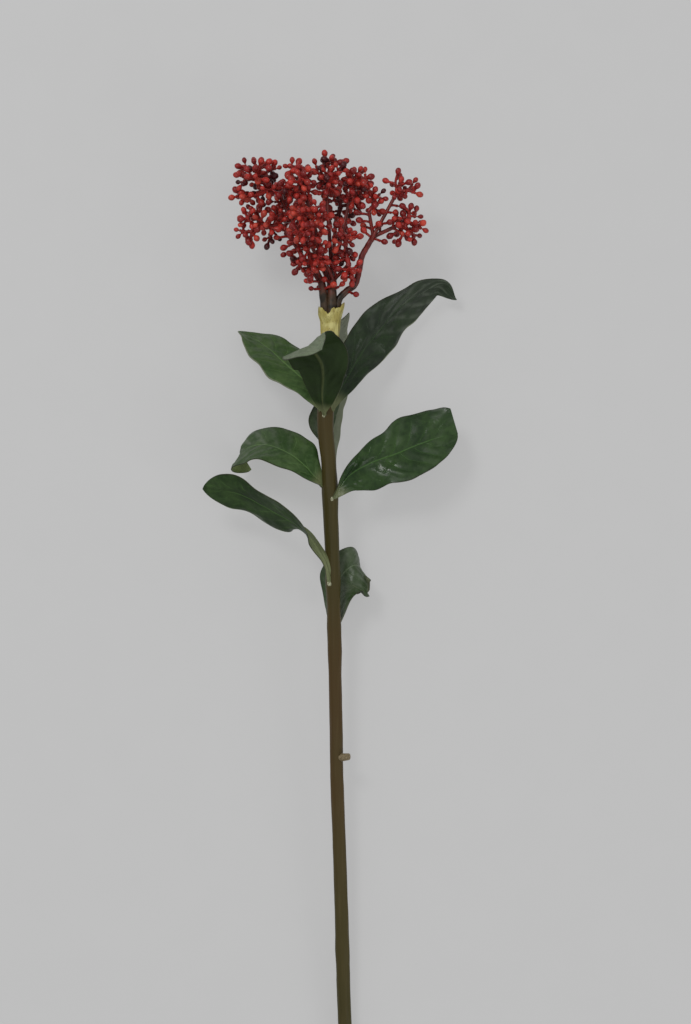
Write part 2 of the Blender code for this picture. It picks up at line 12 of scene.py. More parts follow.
import bpy
from mathutils import Euler, Matrix, Vector, noise
from mathutils.bvhtree import BVHTree


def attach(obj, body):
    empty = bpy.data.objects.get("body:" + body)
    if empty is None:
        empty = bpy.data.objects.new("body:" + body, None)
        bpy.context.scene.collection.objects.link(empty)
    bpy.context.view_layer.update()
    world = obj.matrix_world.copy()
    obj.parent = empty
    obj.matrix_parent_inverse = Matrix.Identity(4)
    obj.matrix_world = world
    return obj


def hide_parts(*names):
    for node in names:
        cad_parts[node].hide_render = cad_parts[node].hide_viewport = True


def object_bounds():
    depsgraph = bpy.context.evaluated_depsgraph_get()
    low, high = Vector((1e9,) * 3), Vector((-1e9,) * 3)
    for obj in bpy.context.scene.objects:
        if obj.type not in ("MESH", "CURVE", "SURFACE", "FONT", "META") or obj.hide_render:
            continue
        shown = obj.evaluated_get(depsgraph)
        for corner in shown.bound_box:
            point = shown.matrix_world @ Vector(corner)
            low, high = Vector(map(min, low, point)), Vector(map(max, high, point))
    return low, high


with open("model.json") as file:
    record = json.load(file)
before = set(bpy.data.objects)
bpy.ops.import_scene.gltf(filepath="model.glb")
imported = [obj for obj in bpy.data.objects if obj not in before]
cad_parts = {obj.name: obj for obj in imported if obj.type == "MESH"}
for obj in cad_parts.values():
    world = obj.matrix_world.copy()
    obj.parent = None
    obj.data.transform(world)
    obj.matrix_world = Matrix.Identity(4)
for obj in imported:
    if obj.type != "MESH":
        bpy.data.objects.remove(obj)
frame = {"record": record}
cad_low, cad_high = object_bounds()
print("CAD box in mm:", [round(1000 * (b - a), 1) for a, b in zip(cad_low, cad_high)])

# %% [markdown]
# ## The plant's own frame
# A plant is easier to describe along its stem than along the table: x goes across, y up the stem from the
# cut end, and z out of the table, in millimetres. One matrix lays that frame down. Its place comes from the
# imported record, which says where the cut end lies.

# %% Lay the plant down
MM = 0.001
LIE_TILT = 4.05
LIE_ROLL = -2.3
STEM_FOOT = Vector((2.0, 0.0, 0.0))
turn = Euler((math.radians(LIE_TILT), math.radians(LIE_ROLL), 0.0)).to_matrix()
cut_end = next(mount for mount in frame["record"]["mounts"] if mount["name"] == "cut_end")
LAY = Matrix.Translation(Vector(cut_end["pos_m"]) - turn @ STEM_FOOT * MM) @ turn.to_4x4()
GROWN = LAY @ Matrix.Scale(MM, 4)
print("The plant's origin lies at", [round(v, 4) for v in LAY.translation])

# %% [markdown]
# ## Camera
# The photograph looks straight at the standing stem. Here the stem lies, so the camera looks down on it, in
# the plant's own frame, from two metres. The lens is the one that makes 1024 pixels 573 mm at that distance.

# %% Make the camera
MM_PER_PIXEL = 0.56
PHOTO_HEIGHT = 1024
SENSOR = 36.0
CAMERA_PLACE = Vector((-1.12, 345.5, 2000.0))
bpy.ops.object.camera_add()
camera = bpy.context.object
camera.name = "camera"
camera.data.sensor_width = SENSOR
camera.data.lens = SENSOR * CAMERA_PLACE.z / (PHOTO_HEIGHT * MM_PER_PIXEL)
camera.matrix_world = LAY @ Matrix.Translation(CAMERA_PLACE * MM)
bpy.context.scene.camera = camera
print("Lens:", round(camera.data.lens, 1), "mm")

# %% [markdown]
# ## Shader maths as expressions
# A pattern on a surface is arithmetic on coordinates. A small class holds a socket and overloads the
# operators, so that `1 - mask` adds a Math node. A second one holds a material and makes every other node.

# %% Write the two classes
class Reading:
    """A socket whose value varies over a surface."""

    def __init__(self, tree, socket):
        self.tree = tree
        self.socket = socket

    def math(self, operation, *others):
        node = self.tree.nodes.new("ShaderNodeMath")
        node.operation = operation
        for port, value in zip(node.inputs, (self, *others)):
            plug(self.tree, value, port)
        return Reading(self.tree, node.outputs[0])

    def __add__(self, other):
        return self.math("ADD", other)

    def __sub__(self, other):
        return self.math("SUBTRACT", other)

    def __rsub__(self, other):
        return self.math("MULTIPLY", -1.0).math("ADD", other)

    def __mul__(self, other):
        return self.math("MULTIPLY", other)

    def __abs__(self):
        return self.math("ABSOLUTE")


def plug(tree, value, port):
    """Links a reading to a port, or sets the port to a number or a colour."""
    if isinstance(value, Reading):
        tree.links.new(value.socket, port)
    elif isinstance(value, tuple) and len(value) == 3 and port.type == "RGBA":
        port.default_value = (*value, 1.0)
    else:
        port.default_value = value


def times(factor, colour):
    """A colour made lighter or darker."""
    return tuple(factor * c for c in colour)


class Paint:
    """A material with its shader, and short names for the nodes that feed it."""

    def __init__(self, name, roughness=0.5, specular=0.5):
        self.material = bpy.data.materials.new(name)
        self.material.use_nodes = True
        self.tree = self.material.node_tree
        self.shader = self.tree.nodes["Principled BSDF"]
        self.set(Roughness=roughness)
        self.shader.inputs["Specular IOR Level"].default_value = specular

    def set(self, **values):
        for name, value in values.items():
            plug(self.tree, value, self.shader.inputs[name.replace("_", " ")])

    def node(self, kind, settings, values, output=0):
        node = self.tree.nodes.new(kind)
        for name, value in settings.items():
            setattr(node, name, value)
        for name, value in values.items():
            plug(self.tree, value, node.inputs[name])
        return Reading(self.tree, node.outputs[output])

    def place(self):
        """The point on the surface, in metres."""
        return self.node("ShaderNodeTexCoord", {}, {}, "Object")

    def stretched(self, where, scale):
        return self.node("ShaderNodeMapping", {}, {"Vector": where, "Scale": scale})

    def axis(self, where, name):
        return self.node("ShaderNodeSeparateXYZ", {}, {"Vector": where}, name)

    def noise(self, where, scale, detail=3.0, roughness=0.5):
        return self.node("ShaderNodeTexNoise", {}, {"Vector": where, "Scale": scale, "Detail": detail,
                                                    "Roughness": roughness})

    def rise(self, value, low, high):
        """0 below low, 1 above high, and a smooth step between them."""
        return self.node("ShaderNodeMapRange", {"interpolation_type": "SMOOTHSTEP"},
                         {"Value": value, "From Min": low, "From Max": high})

    def mix(self, share, first, second):
        node = self.tree.nodes.new("ShaderNodeMix")
        node.data_type = "RGBA"
        for port, value in zip((node.inputs[0], node.inputs[6], node.inputs[7]), (share, first, second)):
            plug(self.tree, value, port)
        return Reading(self.tree, node.outputs[2])

    def reading(self, name):
        """A value that the mesh keeps at each of its points."""
        return self.node("ShaderNodeAttribute", {"attribute_name": name}, {}, "Fac")

    def bump(self, height, distance):
        return self.node("ShaderNodeBump", {}, {"Height": height, "Distance": distance})


print("Ready to paint")

# %% [markdown]
# ## Curves along a limb
# The solids follow Catmull-Rom curves through a few named places. The same curves are written again here, and
# read at more stations.

# %% Write the curve functions
def smooth_values(values, steps):
    """A Catmull-Rom curve through numbers or points, with steps between each pair."""
    ends = [2 * values[0] - values[1], *values, 2 * values[-1] - values[-2]]
    curve = []
    for i in range(len(values) - 1):
        a, b, c, d = ends[i:i + 4]
        for k in range(steps):
            t = k / steps
            curve.append(0.5 * (2 * b + (c - a) * t + (2 * a - 5 * b + 4 * c - d) * t * t
                                + (3 * b - a - 3 * c + d) * t ** 3))
    curve.append(values[-1])
    return curve


def even_stations(line, others, count):
    """Points spaced evenly along a fine line, with the other values there."""
    lengths = [0.0]
    for a, b in zip(line, line[1:]):
        lengths.append(lengths[-1] + (b - a).length)
    places, values = [], []
    k = 0
    for i in range(count):
        want = lengths[-1] * i / (count - 1)
        while k < len(line) - 2 and lengths[k + 1] < want:
            k += 1
        t = (want - lengths[k]) / (lengths[k + 1] - lengths[k])
        places.append(line[k].lerp(line[k + 1], t))
        values.append(others[k] + (others[k + 1] - others[k]) * t)
    return places, values


def headings(line):
    """Unit direction at each point of a line."""
    found = []
    for i in range(len(line)):
        found.append((line[min(i + 1, len(line) - 1)] - line[max(i - 1, 0)]).normalized())
    return found


def sides_along(along, side):
    """A side direction carried along a line with no twist of its own."""
    found = []
    for way in along:
        side = (side - way * side.dot(way)).normalized()
        found.append(side)
    return found


def share(value, low, high):
    """0 below low, 1 above high, and a smooth step between them."""
    t = min(max((value - low) / (high - low), 0.0), 1.0)
    return t * t * (3 - 2 * t)


# %% [markdown]
# ## Finishing a piece
# Every piece is made in the plant's frame, in millimetres. Finishing it writes the lying pose into its mesh,
# so that the object itself stays at the origin, and then hangs it on its body, gives it its finish and hides
# the solids that it stands for.

# %% Write the finishing function
def start_mesh():
    """Nothing stays selected, so that the next operator acts on the new piece alone."""
    if bpy.context.object and bpy.context.object.mode != "OBJECT":
        bpy.ops.object.mode_set(mode="OBJECT")
    bpy.ops.object.select_all(action="DESELECT")


def finish_piece(piece, name, paint, slot, *nodes):
    piece.name = name
    piece.data.name = name
    piece.data.transform(GROWN @ piece.matrix_world)
    piece.matrix_world = Matrix.Identity(4)
    piece.data.materials.clear()
    piece.data.materials.append(paint.material)
    start_mesh()
    piece.select_set(True)
    bpy.context.view_layer.objects.active = piece
    bpy.ops.object.shade_smooth_by_angle(angle=math.radians(50))
    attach(piece, "root")
    if nodes:
        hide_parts(*nodes)
    triangles = sum(len(face.vertices) - 2 for face in piece.data.polygons)
    print(name, "has", triangles, "triangles")


def apply_modifier(piece, kind, **settings):
    """Adds a modifier to the active piece and applies it."""
    modifier = piece.modifiers.new("step", kind)
    for name, value in settings.items():
        setattr(modifier, name, value)
    bpy.ops.object.modifier_apply(modifier=modifier.name)


def take_shape(piece):
    """Points and faces of a piece, which is then deleted."""
    points = [vert.co.copy() for vert in piece.data.vertices]
    faces = [tuple(face.vertices) for face in piece.data.polygons]
    bpy.data.objects.remove(piece, do_unlink=True)
    return points, faces


def move_points(piece, place):
    """Gives every point of a mesh a new place, worked out from the old one."""
    for vert in piece.data.vertices:
        vert.co = place(vert.co)
    piece.data.update()


# %% [markdown]
# ## The stem
# The real stem is an extruded plastic tube over a wire, pressed with shallow grooves and swollen where the
# leaves are glued on. It starts as a cylinder that is cut into rings in edit mode, which the collar will need
# too. Each point is then carried to its place round the stem's line, a little in or out for the relief.

# %% Make the stem
STEM_AXIS = [(2.0, 0.0), (-1.5, 61.0), (-3.0, 106.0), (-4.3, 150.5), (-5.8, 195.5), (-6.7, 240.0),
             (-7.4, 274.0), (-7.8, 296.0), (-9.5, 350.0), (-10.7, 375.0), (-12.5, 397.0), (-10.0, 443.0)]
STEM_RADII = [3.9, 3.9, 3.9, 3.8, 3.8, 3.7, 3.8, 3.9, 4.3, 4.3, 4.5, 3.8]
STEM_RINGS = 260
STEM_SIDES = 40
STEM_NODES = [(102.0, 0.25, 6.0), (267.0, 0.3, 5.0), (281.0, 0.3, 7.0), (308.0, 0.35, 7.0),
              (357.0, 0.4, 8.0), (402.0, 0.45, 7.0)]
CUT_BEVEL = 0.5

stem_line, stem_radii = even_stations(smooth_values([Vector((x, y, 0.0)) for x, y in STEM_AXIS], 12),
                                      smooth_values(STEM_RADII, 12), STEM_RINGS + 1)
stem_along = headings(stem_line)
stem_sides = sides_along(stem_along, Vector((1.0, 0.0, 0.0)))


def stem_point(station, angle):
    """A point of the stem's surface, with its swellings, its shallow grooves and its dents."""
    centre, height = stem_line[station], stem_line[station].y
    radius = stem_radii[station] - CUT_BEVEL * (1 - share(height, 0.0, CUT_BEVEL)) - 0.08
    for node, swell, reach in STEM_NODES:
        radius += swell * math.exp(-((height - node) / reach) ** 2)
    radius += 0.05 * math.sin(3 * angle - height / 24)
    side = stem_sides[station]
    out = side * math.cos(angle) + side.cross(stem_along[station]) * math.sin(angle)
    radius += 0.22 * noise.noise(Vector((out.x * 1.3, height / 16, out.z * 1.3)))
    radius += 0.12 * noise.noise(Vector((out.x * 3.2, height / 5, out.z * 3.2)))
    return centre + out * radius


def ringed_cylinder(sides, rings, ends):
    """A unit cylinder whose upright edges are cut into rings."""
    start_mesh()
    bpy.ops.mesh.primitive_cylinder_add(vertices=sides, radius=1.0, depth=1.0, end_fill_type=ends)
    thing = bpy.context.object
    bpy.ops.object.mode_set(mode="EDIT")
    bpy.ops.mesh.select_all(action="DESELECT")
    bpy.ops.object.mode_set(mode="OBJECT")
    for edge in thing.data.edges:
        heights = [thing.data.vertices[v].co.z for v in edge.vertices]
        edge.select = abs(heights[0] - heights[1]) > 0.5
    bpy.ops.object.mode_set(mode="EDIT")
    bpy.ops.mesh.select_mode(type="EDGE")
    bpy.ops.mesh.subdivide(number_cuts=rings - 1)
    bpy.ops.object.mode_set(mode="OBJECT")
    return thing


def stem_place(flat):
    station = round((flat.z + 0.5) * STEM_RINGS)
    if flat.xy.length < 0.5:
        return stem_line[station]
    return stem_point(station, math.atan2(flat.y, flat.x))


stem = ringed_cylinder(STEM_SIDES, STEM_RINGS, "TRIFAN")
rounds = [vert.co.y / max(vert.co.xy.length, 0.5) for vert in stem.data.vertices]
stem.data.attributes.new("front", "FLOAT", "POINT").data.foreach_set("value", rounds)
move_points(stem, stem_place)
stem_surface = BVHTree.FromPolygons([v.co.copy() for v in stem.data.vertices],
                                    [tuple(p.vertices) for p in stem.data.polygons])

# %% [markdown]
# The plastic is olive-brown, redder half-way up, with a paler cut. A darker band down its front and its back
# is painted shade, which leaves its sides looking lit.

# %% Paint the stem
FOOT_Y = -cad_low.y
paint = Paint("stem_plastic", specular=0.16)
where = paint.place()
height = paint.axis(where, "Y") + FOOT_Y
reddish = paint.rise(height, 0.11, 0.2) * (1 - paint.rise(height, 0.25, 0.32)) * 0.8
reddish = reddish + paint.rise(height, 0.35, 0.4) * 0.35
front = abs(paint.reading("front"))
streaks = paint.noise(paint.stretched(where, (1.0, 0.04, 1.0)), 420.0, 4.0)
blotches = paint.noise(paint.stretched(where, (1.0, 0.35, 1.0)), 60.0, 3.0)
grain = paint.noise(where, 900.0, 3.0)
tone = paint.mix(reddish, (0.044, 0.037, 0.009), (0.064, 0.034, 0.010))
# Painted shade: a darker band down the front and the back of the stem, so that its sides look lit.
tone = paint.mix(paint.rise(front, 0.5, 0.98) * 0.35, tone, (0.026, 0.019, 0.005))
tone = paint.mix(paint.rise(blotches, 0.45, 0.65) * 0.35, tone, (0.052, 0.040, 0.012))
tone = paint.mix(paint.rise(streaks, 0.5, 0.72) * 0.25, tone, (0.080, 0.060, 0.024))
tone = paint.mix(1 - paint.rise(height, 0.0002, 0.0008), tone, (0.30, 0.26, 0.16))
paint.set(Base_Color=tone, Roughness=paint.rise(blotches, 0.3, 0.7) * 0.16 + 0.36,
          Normal=paint.bump(streaks + blotches * 0.8 + grain * 0.3, 0.00025))
finish_piece(stem, "stem_bark", paint, "stem", "stem")

# %% [markdown]
# ## The cut side shoot
# Half-way up, a side shoot was cut off. Its stub is a short cylinder, leaning out, with an inset dry face.

# %% Make the stub
STUB_HEIGHT = 208.0
STUB_RADIUS = 2.1
STUB_LENGTH = 4.2
STUB_GAP = 0.5
STUB_HEADING = Vector((0.80, 0.10, 0.60)).normalized()
station = min(range(len(stem_line)), key=lambda i: abs(stem_line[i].y - STUB_HEIGHT))
stub_foot = stem_line[station] + STUB_HEADING * (stem_radii[station] - 1.0)
stub_reach = STUB_LENGTH + STUB_GAP + 1.0
start_mesh()
bpy.ops.mesh.primitive_cylinder_add(vertices=24, radius=STUB_RADIUS * 0.9, depth=stub_reach)
stub = bpy.context.object
bpy.ops.object.mode_set(mode="EDIT")
bpy.ops.mesh.select_all(action="DESELECT")
bpy.ops.object.mode_set(mode="OBJECT")
for face in stub.data.polygons:
    face.select = face.normal.z > 0.9
bpy.ops.object.mode_set(mode="EDIT")
bpy.ops.mesh.inset(thickness=0.45, depth=0.25)
bpy.ops.mesh.inset(thickness=0.5, depth=-0.3)
bpy.ops.mesh.inset(thickness=0.5, depth=0.0)
bpy.ops.object.mode_set(mode="OBJECT")
apply_modifier(stub, "BEVEL", width=0.18, segments=2)
stub_turn = STUB_HEADING.to_track_quat("Z", "Y").to_matrix()


def stub_place(flat):
    angle = math.atan2(flat.y, flat.x)
    swell = 1 + 0.22 * (1 - share(flat.z, -stub_reach / 2, 0.0)) + 0.05 * math.sin(3 * angle + flat.z)
    shaped = Vector((flat.x * swell, flat.y * swell, flat.z + 0.25 * flat.x / STUB_RADIUS))
    return stub_foot + stub_turn @ (shaped + Vector((0.0, 0.0, stub_reach / 2)))


move_points(stub, stub_place)
paint = Paint("stub_dry", roughness=0.8)
where = paint.place()
fibres = paint.noise(where, 1500.0, 4.0)
tone = paint.mix(paint.rise(fibres, 0.35, 0.65), (0.10, 0.075, 0.035), (0.21, 0.16, 0.09))
paint.set(Base_Color=tone, Normal=paint.bump(fibres, 0.0003))
finish_piece(stub, "stub_cut", paint, "stub", "stub")

# %% [markdown]
# ## The collar
# A cream sheath wraps the top of the stem and flares to a torn rim. It is a cylinder without ends, cut into
# rings, pushed to the sheath's profile and given its wall by Solidify. A seam winds up its front.

# %% Make the collar
COLLAR_FOOT = Vector((-10.0, 443.5, 0.0))
COLLAR_MOUTH = Vector((-9.0, 460.0, 0.0))
COLLAR_FOOT_RADIUS = 4.9
COLLAR_MOUTH_RADIUS = 6.9
COLLAR_WALL = 0.9
WALL_SHARE = 0.6
COLLAR_RAGGED = 1.6
COLLAR_RINGS = 28
COLLAR_SIDES = 96
COLLAR_SLEEVE = 6.0
NOTCH_ANGLE = math.radians(105)
NOTCH_DEPTH = 3.2
NOTCH_WIDTH = 0.42
SEAM_START = math.radians(59)
SEAM_TWIST = 2.04
SEAM_TURN = 0.05


def turned_by(angle, start):
    """The angle from start, between half a turn back and half a turn on."""
    return math.atan2(math.sin(angle - start), math.cos(angle - start))


def collar_rim(angle):
    """How far the ragged rim stands above or below the mouth."""
    rough = 0.9 * math.cos(angle) + 0.6 * math.cos(2 * angle + 0.5) + 0.35 * math.sin(5 * angle)
    tears = 0.18 * math.sin(13 * angle + 1) + 0.12 * math.sin(29 * angle)
    notch = max(0.0, 1 - abs(turned_by(angle, NOTCH_ANGLE)) / NOTCH_WIDTH)
    return COLLAR_RAGGED * (rough + tears) - NOTCH_DEPTH * notch


def collar_place(flat):
    """The sheath's profile, with its pleats, its overlapping seam and its torn rim."""
    up = flat.z + 0.5
    angle = math.atan2(flat.y, flat.x)
    foot = COLLAR_FOOT - Vector((0.0, COLLAR_SLEEVE, 0.0))
    centre = foot.lerp(COLLAR_MOUTH, up)
    flare = share(up, 0.55, 1.0)
    radius = COLLAR_FOOT_RADIUS - 0.35 + 0.35 * up + (COLLAR_MOUTH_RADIUS - COLLAR_FOOT_RADIUS) * flare ** 1.3
    past = turned_by(angle, SEAM_START + SEAM_TWIST * up)
    radius += 0.45 * share(past, -SEAM_TURN, SEAM_TURN) * (1 - share(past, 0.2, 2.2))
    radius += 0.12 * math.sin(9 * angle + 3 * up) + 0.07 * math.sin(17 * angle - 5 * up)
    out = Vector((math.cos(angle), 0.0, math.sin(angle)))
    radius += 0.35 * noise.noise(Vector((out.x * 2.2 + 1.4 * up, 5.0 * up, out.z * 2.2)))
    rag = collar_rim(angle) * share(up, 0.45, 1.0)
    return centre + out * min(radius, COLLAR_MOUTH_RADIUS) + Vector((0.0, rag, 0.0))


collar = ringed_cylinder(COLLAR_SIDES, COLLAR_RINGS, "NOTHING")
move_points(collar, collar_place)
apply_modifier(collar, "SOLIDIFY", thickness=COLLAR_WALL * WALL_SHARE, offset=-1.0)
bpy.ops.object.mode_set(mode="EDIT")
bpy.ops.mesh.select_all(action="SELECT")
bpy.ops.mesh.normals_make_consistent(inside=False)
bpy.ops.object.mode_set(mode="OBJECT")

paint = Paint("collar_sheath", roughness=0.6)
where = paint.place()
height = paint.axis(where, "Y") + FOOT_Y
threads = paint.noise(paint.stretched(where, (1.0, 0.12, 1.0)), 650.0, 4.0)
patches = paint.noise(where, 190.0, 3.0)
specks = paint.noise(where, 900.0, 2.0)
cream = paint.mix(paint.rise(patches, 0.4, 0.65), (0.31, 0.26, 0.060), (0.45, 0.41, 0.150))
cream = paint.mix(paint.rise(threads, 0.5, 0.7) * 0.6, cream, (0.19, 0.155, 0.035))
cream = paint.mix(paint.rise(specks, 0.66, 0.72), cream, (0.13, 0.055, 0.018))
cream = paint.mix(paint.rise(height, 0.4595, 0.4625) * 0.5, cream, (0.20, 0.08, 0.035))
paint.set(Base_Color=cream, Normal=paint.bump(threads, 0.0004))
finish_piece(collar, "collar_sheath", paint, "collar", "collar")

# %% [markdown]
# ## The leaves
# Each leaf is cut from coated cloth, pressed with veins and bent by hand. It starts as a flat grid, gets its
# thickness from Solidify, and keeps the grid's UV map: u goes across the blade and v along it, so the painted
# veins follow every bend. The points are then carried to the leaf's own line, by the rule of the solids,
# with the cup, the waves of the margin and the puckers between the veins added to it.

# %% Write down the leaves
LEAF_ACROSS = 36
LEAF_STATIONS = 112
LEAF_CLOTH = 0.55
FLAT_CLOTH = 0.2
LEAF_NECK = 0.9
LEAF_FINE_STEPS = 24
VALLEY_ROUND = 1.2
LEAF_FULLNESS = ((1.05, 0.8, 1.0), (1.05, 0.8, 1.0))
VEIN_PAIRS = 9
VEIN_SLANT = 0.2
LEAVES = {
    "leaf_top_left": dict(
        line=[(-16, 402, 5), (-23, 417, 6), (-34.5, 428, -5.5), (-45, 438, -15.5), (-54.5, 444.5, -22),
              (-62, 448, -25)],
        turns=[0, 10, 30, 35, 45, 55], halves=(15.5, 15), cup=5),
    "leaf_top_front": dict(
        line=[(-13, 400, 6), (-14, 410.5, 15), (-14, 426, 18.5), (-19, 435, 25.5), (-21.5, 436.5, 43),
              (-14, 434, 58)],
        turns=[165, 160, 165, 170, 185, 200], halves=(16.5, 16.5), cup=5),
    "leaf_top_right": dict(
        line=[(-7.5, 402, 3), (-1, 418, -2), (13, 441, -9), (30.5, 462, -16), (47.5, 472.5, -22),
              (55.5, 473.5, -25), (62, 466, -29)],
        turns=[35, 40, 48, 58, 68, 68, 50], halves=(18, 17), cup=5,
        full=((0.8, 1.25, 1.0), (1.05, 0.8, 1.0))),
    "leaf_top_rear": dict(
        line=[(-10.5, 403.5, -6), (-6.5, 416, -13.5), (-6.5, 431.5, -18.5), (-3, 448, -24.5),
              (1, 458.5, -27)],
        turns=[10, 35, 55, 65, 72], halves=(11.5, 11.5), cup=6),
    "leaf_middle_left": dict(
        line=[(-15.5, 360, 1.5), (-25, 371, 6), (-37.5, 380, 2), (-50, 383, -5), (-61, 378.5, -15),
              (-55, 369.5, -27)],
        turns=[35, 42, 40, 34, 22, 8], halves=(15.5, 17.5), cup=5, full=((1.05, 0.8, 1.0), (1.05, 1.5, 1.0))),
    "leaf_middle_right": dict(
        line=[(-7.5, 353, 5), (0, 364.5, 4), (12, 372.5, -1), (28.5, 378.5, -4), (46, 385.5, -8),
              (62, 390, -10)],
        turns=[45, 30, 10, -8, -10, -5], halves=(18.5, 18), cup=10, full=((1.5, 0.8, 0.86), (0.8, 0.6, 1.0))),
    "leaf_middle_rear": dict(
        line=[(-9.5, 359.5, -6), (-9, 374, -14), (-13.5, 393, -20), (-9.5, 409, -19.5), (-9, 423.5, -25),
              (-9.5, 437, -30)],
        turns=[65, 70, 50, 50, 35, 45], halves=(15, 15), cup=5),
    "leaf_low_left": dict(
        line=[(-11.5, 306.5, 5), (-14, 318, 8), (-21.5, 330.5, 12), (-29, 338.5, 15), (-44.5, 347.5, 11.5),
              (-61.5, 356, 7.5), (-81, 358.5, 4)],
        turns=[185, 235, 265, 295, 305, 315, 345], halves=(16.5, 15.5), cup=5,
        full=((1.2, 0.85, 1.0), (1.5, 0.7, 1.0))),
    "leaf_low_rear": dict(
        line=[(-4.5, 280, -5.5), (-4, 296.5, -14), (-3.5, 308.5, -12.5), (3.5, 315.5, -10.5),
              (7.5, 313, -18.5), (5.5, 299, -20.5)],
        turns=[-45, -50, -40, -15, -25, -40], halves=(13.5, 19), cup=5,
        full=((1.05, 1.5, 1.0), (1.05, 0.8, 1.0))),
}
print(len(LEAVES), "leaves to make")

# %% [markdown]
# The relief of a leaf is a height above its cloth: a round valley along the midrib, puckers that rise between
# the side veins, and slow waves that grow towards the margin. Every leaf has its own seed, so no two match.

# %% Write the leaf's relief
def leaf_half(u, s, halves, full, start):
    """Half width of a blade at s of its length, on the side of u, with an uneven margin."""
    plus = 1 if u > 0 else 0
    base, tip, end = full[plus]
    peak = base / (base + tip)
    part = min(max(s, 0.0), 1.0) * end
    shape = part ** base * (1 - part) ** tip / (peak ** base * (1 - peak) ** tip)
    ragged = 1 + 0.11 * noise.noise(Vector((8 * s, 3.0 * plus, start))) * share(s, 0.05, 0.2)
    return max(shape * halves[plus] * ragged, LEAF_NECK * (1 - share(s, 0.85, 1.0)) + 0.25)


def vein_phase(u, s, waves):
    """Whole numbers of this lie on the side veins, which leave the midrib and sweep forwards."""
    side = 0.37 if u > 0 else 0.0
    wander = 0.45 * noise.noise(Vector((2.0 * u, 4.0 * s, waves["start"])))
    return VEIN_PAIRS * (s - VEIN_SLANT * abs(u) ** 0.85) + side + waves["shift"] + wander


def relief(u, s, half, waves):
    """Height of the cloth above the flat leaf, in millimetres."""
    inner = share(s, 0.03, 0.2) * (1 - share(s, 0.9, 1.0))
    dome = abs(math.sin(math.pi * vein_phase(u, s, waves))) ** 0.7 - 0.6
    pucker = waves["pucker"] * dome * share(abs(u), 0.04, 0.35) * (1 - share(abs(u), 0.7, 1.0)) * inner
    side = 1.0 if u > 0 else -1.0
    wave = math.sin(math.tau * (waves["count"] * s + 0.31 * side) + waves["start"])
    edge = waves["edge"] * wave * abs(u) ** 2.2 * share(s, 0.05, 0.3) * (1 - share(s, 0.82, 0.98))
    dents = noise.noise(Vector((1.6 * u, 5.0 * s, waves["start"] + 7)))
    dents += 0.45 * noise.noise(Vector((4.5 * u, 13.0 * s, waves["start"] + 3)))
    roll = -waves["roll"] * share(abs(u), 0.72, 1.0) ** 1.5 * inner
    return pucker + edge + waves["dents"] * dents * inner + roll


def leaf_skin(u, s, half, top):
    """How far the upper or the lower face stands off the middle of the cloth."""
    x = u * half
    stalk = 1 - share(s, 0.0, 0.14)
    cloth = LEAF_CLOTH / 2 + 0.35 * stalk
    if top:
        return cloth - 0.22 * math.exp(-(x / 0.55) ** 2) * (1 - stalk)
    ridge = (0.85 - 0.6 * s) * math.exp(-(x / 0.75) ** 2)
    return -cloth - ridge


# %% Build every blade
SEAT_DEPTH = 0.5
WAVES = {name: dict(shift=0.13 * i, count=2.6 + 0.25 * (i % 3), start=1.9 * i, edge=0.8, pucker=0.3, roll=0.5,
                    dents=0.8)
         for i, name in enumerate(LEAVES)}
WAVES["leaf_middle_right"].update(pucker=0.5, dents=1.1)
WAVES["leaf_top_right"].update(pucker=0.25, dents=1.2)


def leaf_frames(line, turns):
    """Centre, side and normal at each station of a leaf, as the solid has them."""
    fine = smooth_values([Vector(p) for p in line], LEAF_FINE_STEPS)
    fine_turns = smooth_values([float(t) for t in turns], LEAF_FINE_STEPS)
    ribs, angles = even_stations(fine, fine_turns, LEAF_STATIONS + 1)
    along = headings(ribs)
    sides = sides_along(along, along[0].cross(Vector((0, 0, 1))).normalized())
    frames = []
    for centre, way, side, angle in zip(ribs, along, sides, angles):
        turned = Matrix.Rotation(math.radians(angle), 3, way) @ side
        frames.append((centre, turned, turned.cross(way)))
    return frames


def build_leaf(name, line, turns, halves, cup, full=LEAF_FULLNESS):
    start_mesh()
    bpy.ops.mesh.primitive_grid_add(x_subdivisions=LEAF_ACROSS, y_subdivisions=LEAF_STATIONS, size=2.0)
    leaf = bpy.context.object
    apply_modifier(leaf, "SOLIDIFY", thickness=FLAT_CLOTH, offset=0.0)
    frames = leaf_frames(line, turns)
    touch = stem_surface.find_nearest(frames[0][0])[0]
    seat = touch - frames[0][0]
    seat += seat.normalized() * SEAT_DEPTH
    tilt = math.radians(cup)
    under = leaf.data.attributes.new("underside", "FLOAT", "POINT")
    veins = leaf.data.attributes.new("veins", "FLOAT", "POINT")
    waves = WAVES[name]
    places = []
    for i, vert in enumerate(leaf.data.vertices):
        u, s, top = vert.co.x, (vert.co.y + 1) / 2, vert.co.z > 0
        under.data[i].value = 0.0 if top else 1.0
        veins.data[i].value = vein_phase(u, s, waves)
        centre, side, up = frames[round(s * LEAF_STATIONS)]
        half = leaf_half(u, s, halves, full, waves["start"])
        valley = (math.hypot(u * half, VALLEY_ROUND) - VALLEY_ROUND) * math.sin(tilt)
        high = valley + relief(u, s, half, waves) + leaf_skin(u, s, half, top)
        drawn = seat * (1 - s) ** 2
        places.append(centre + drawn + side * (u * half * math.cos(tilt)) + up * high)
    for vert, place in zip(leaf.data.vertices, places):
        vert.co = place
    return leaf
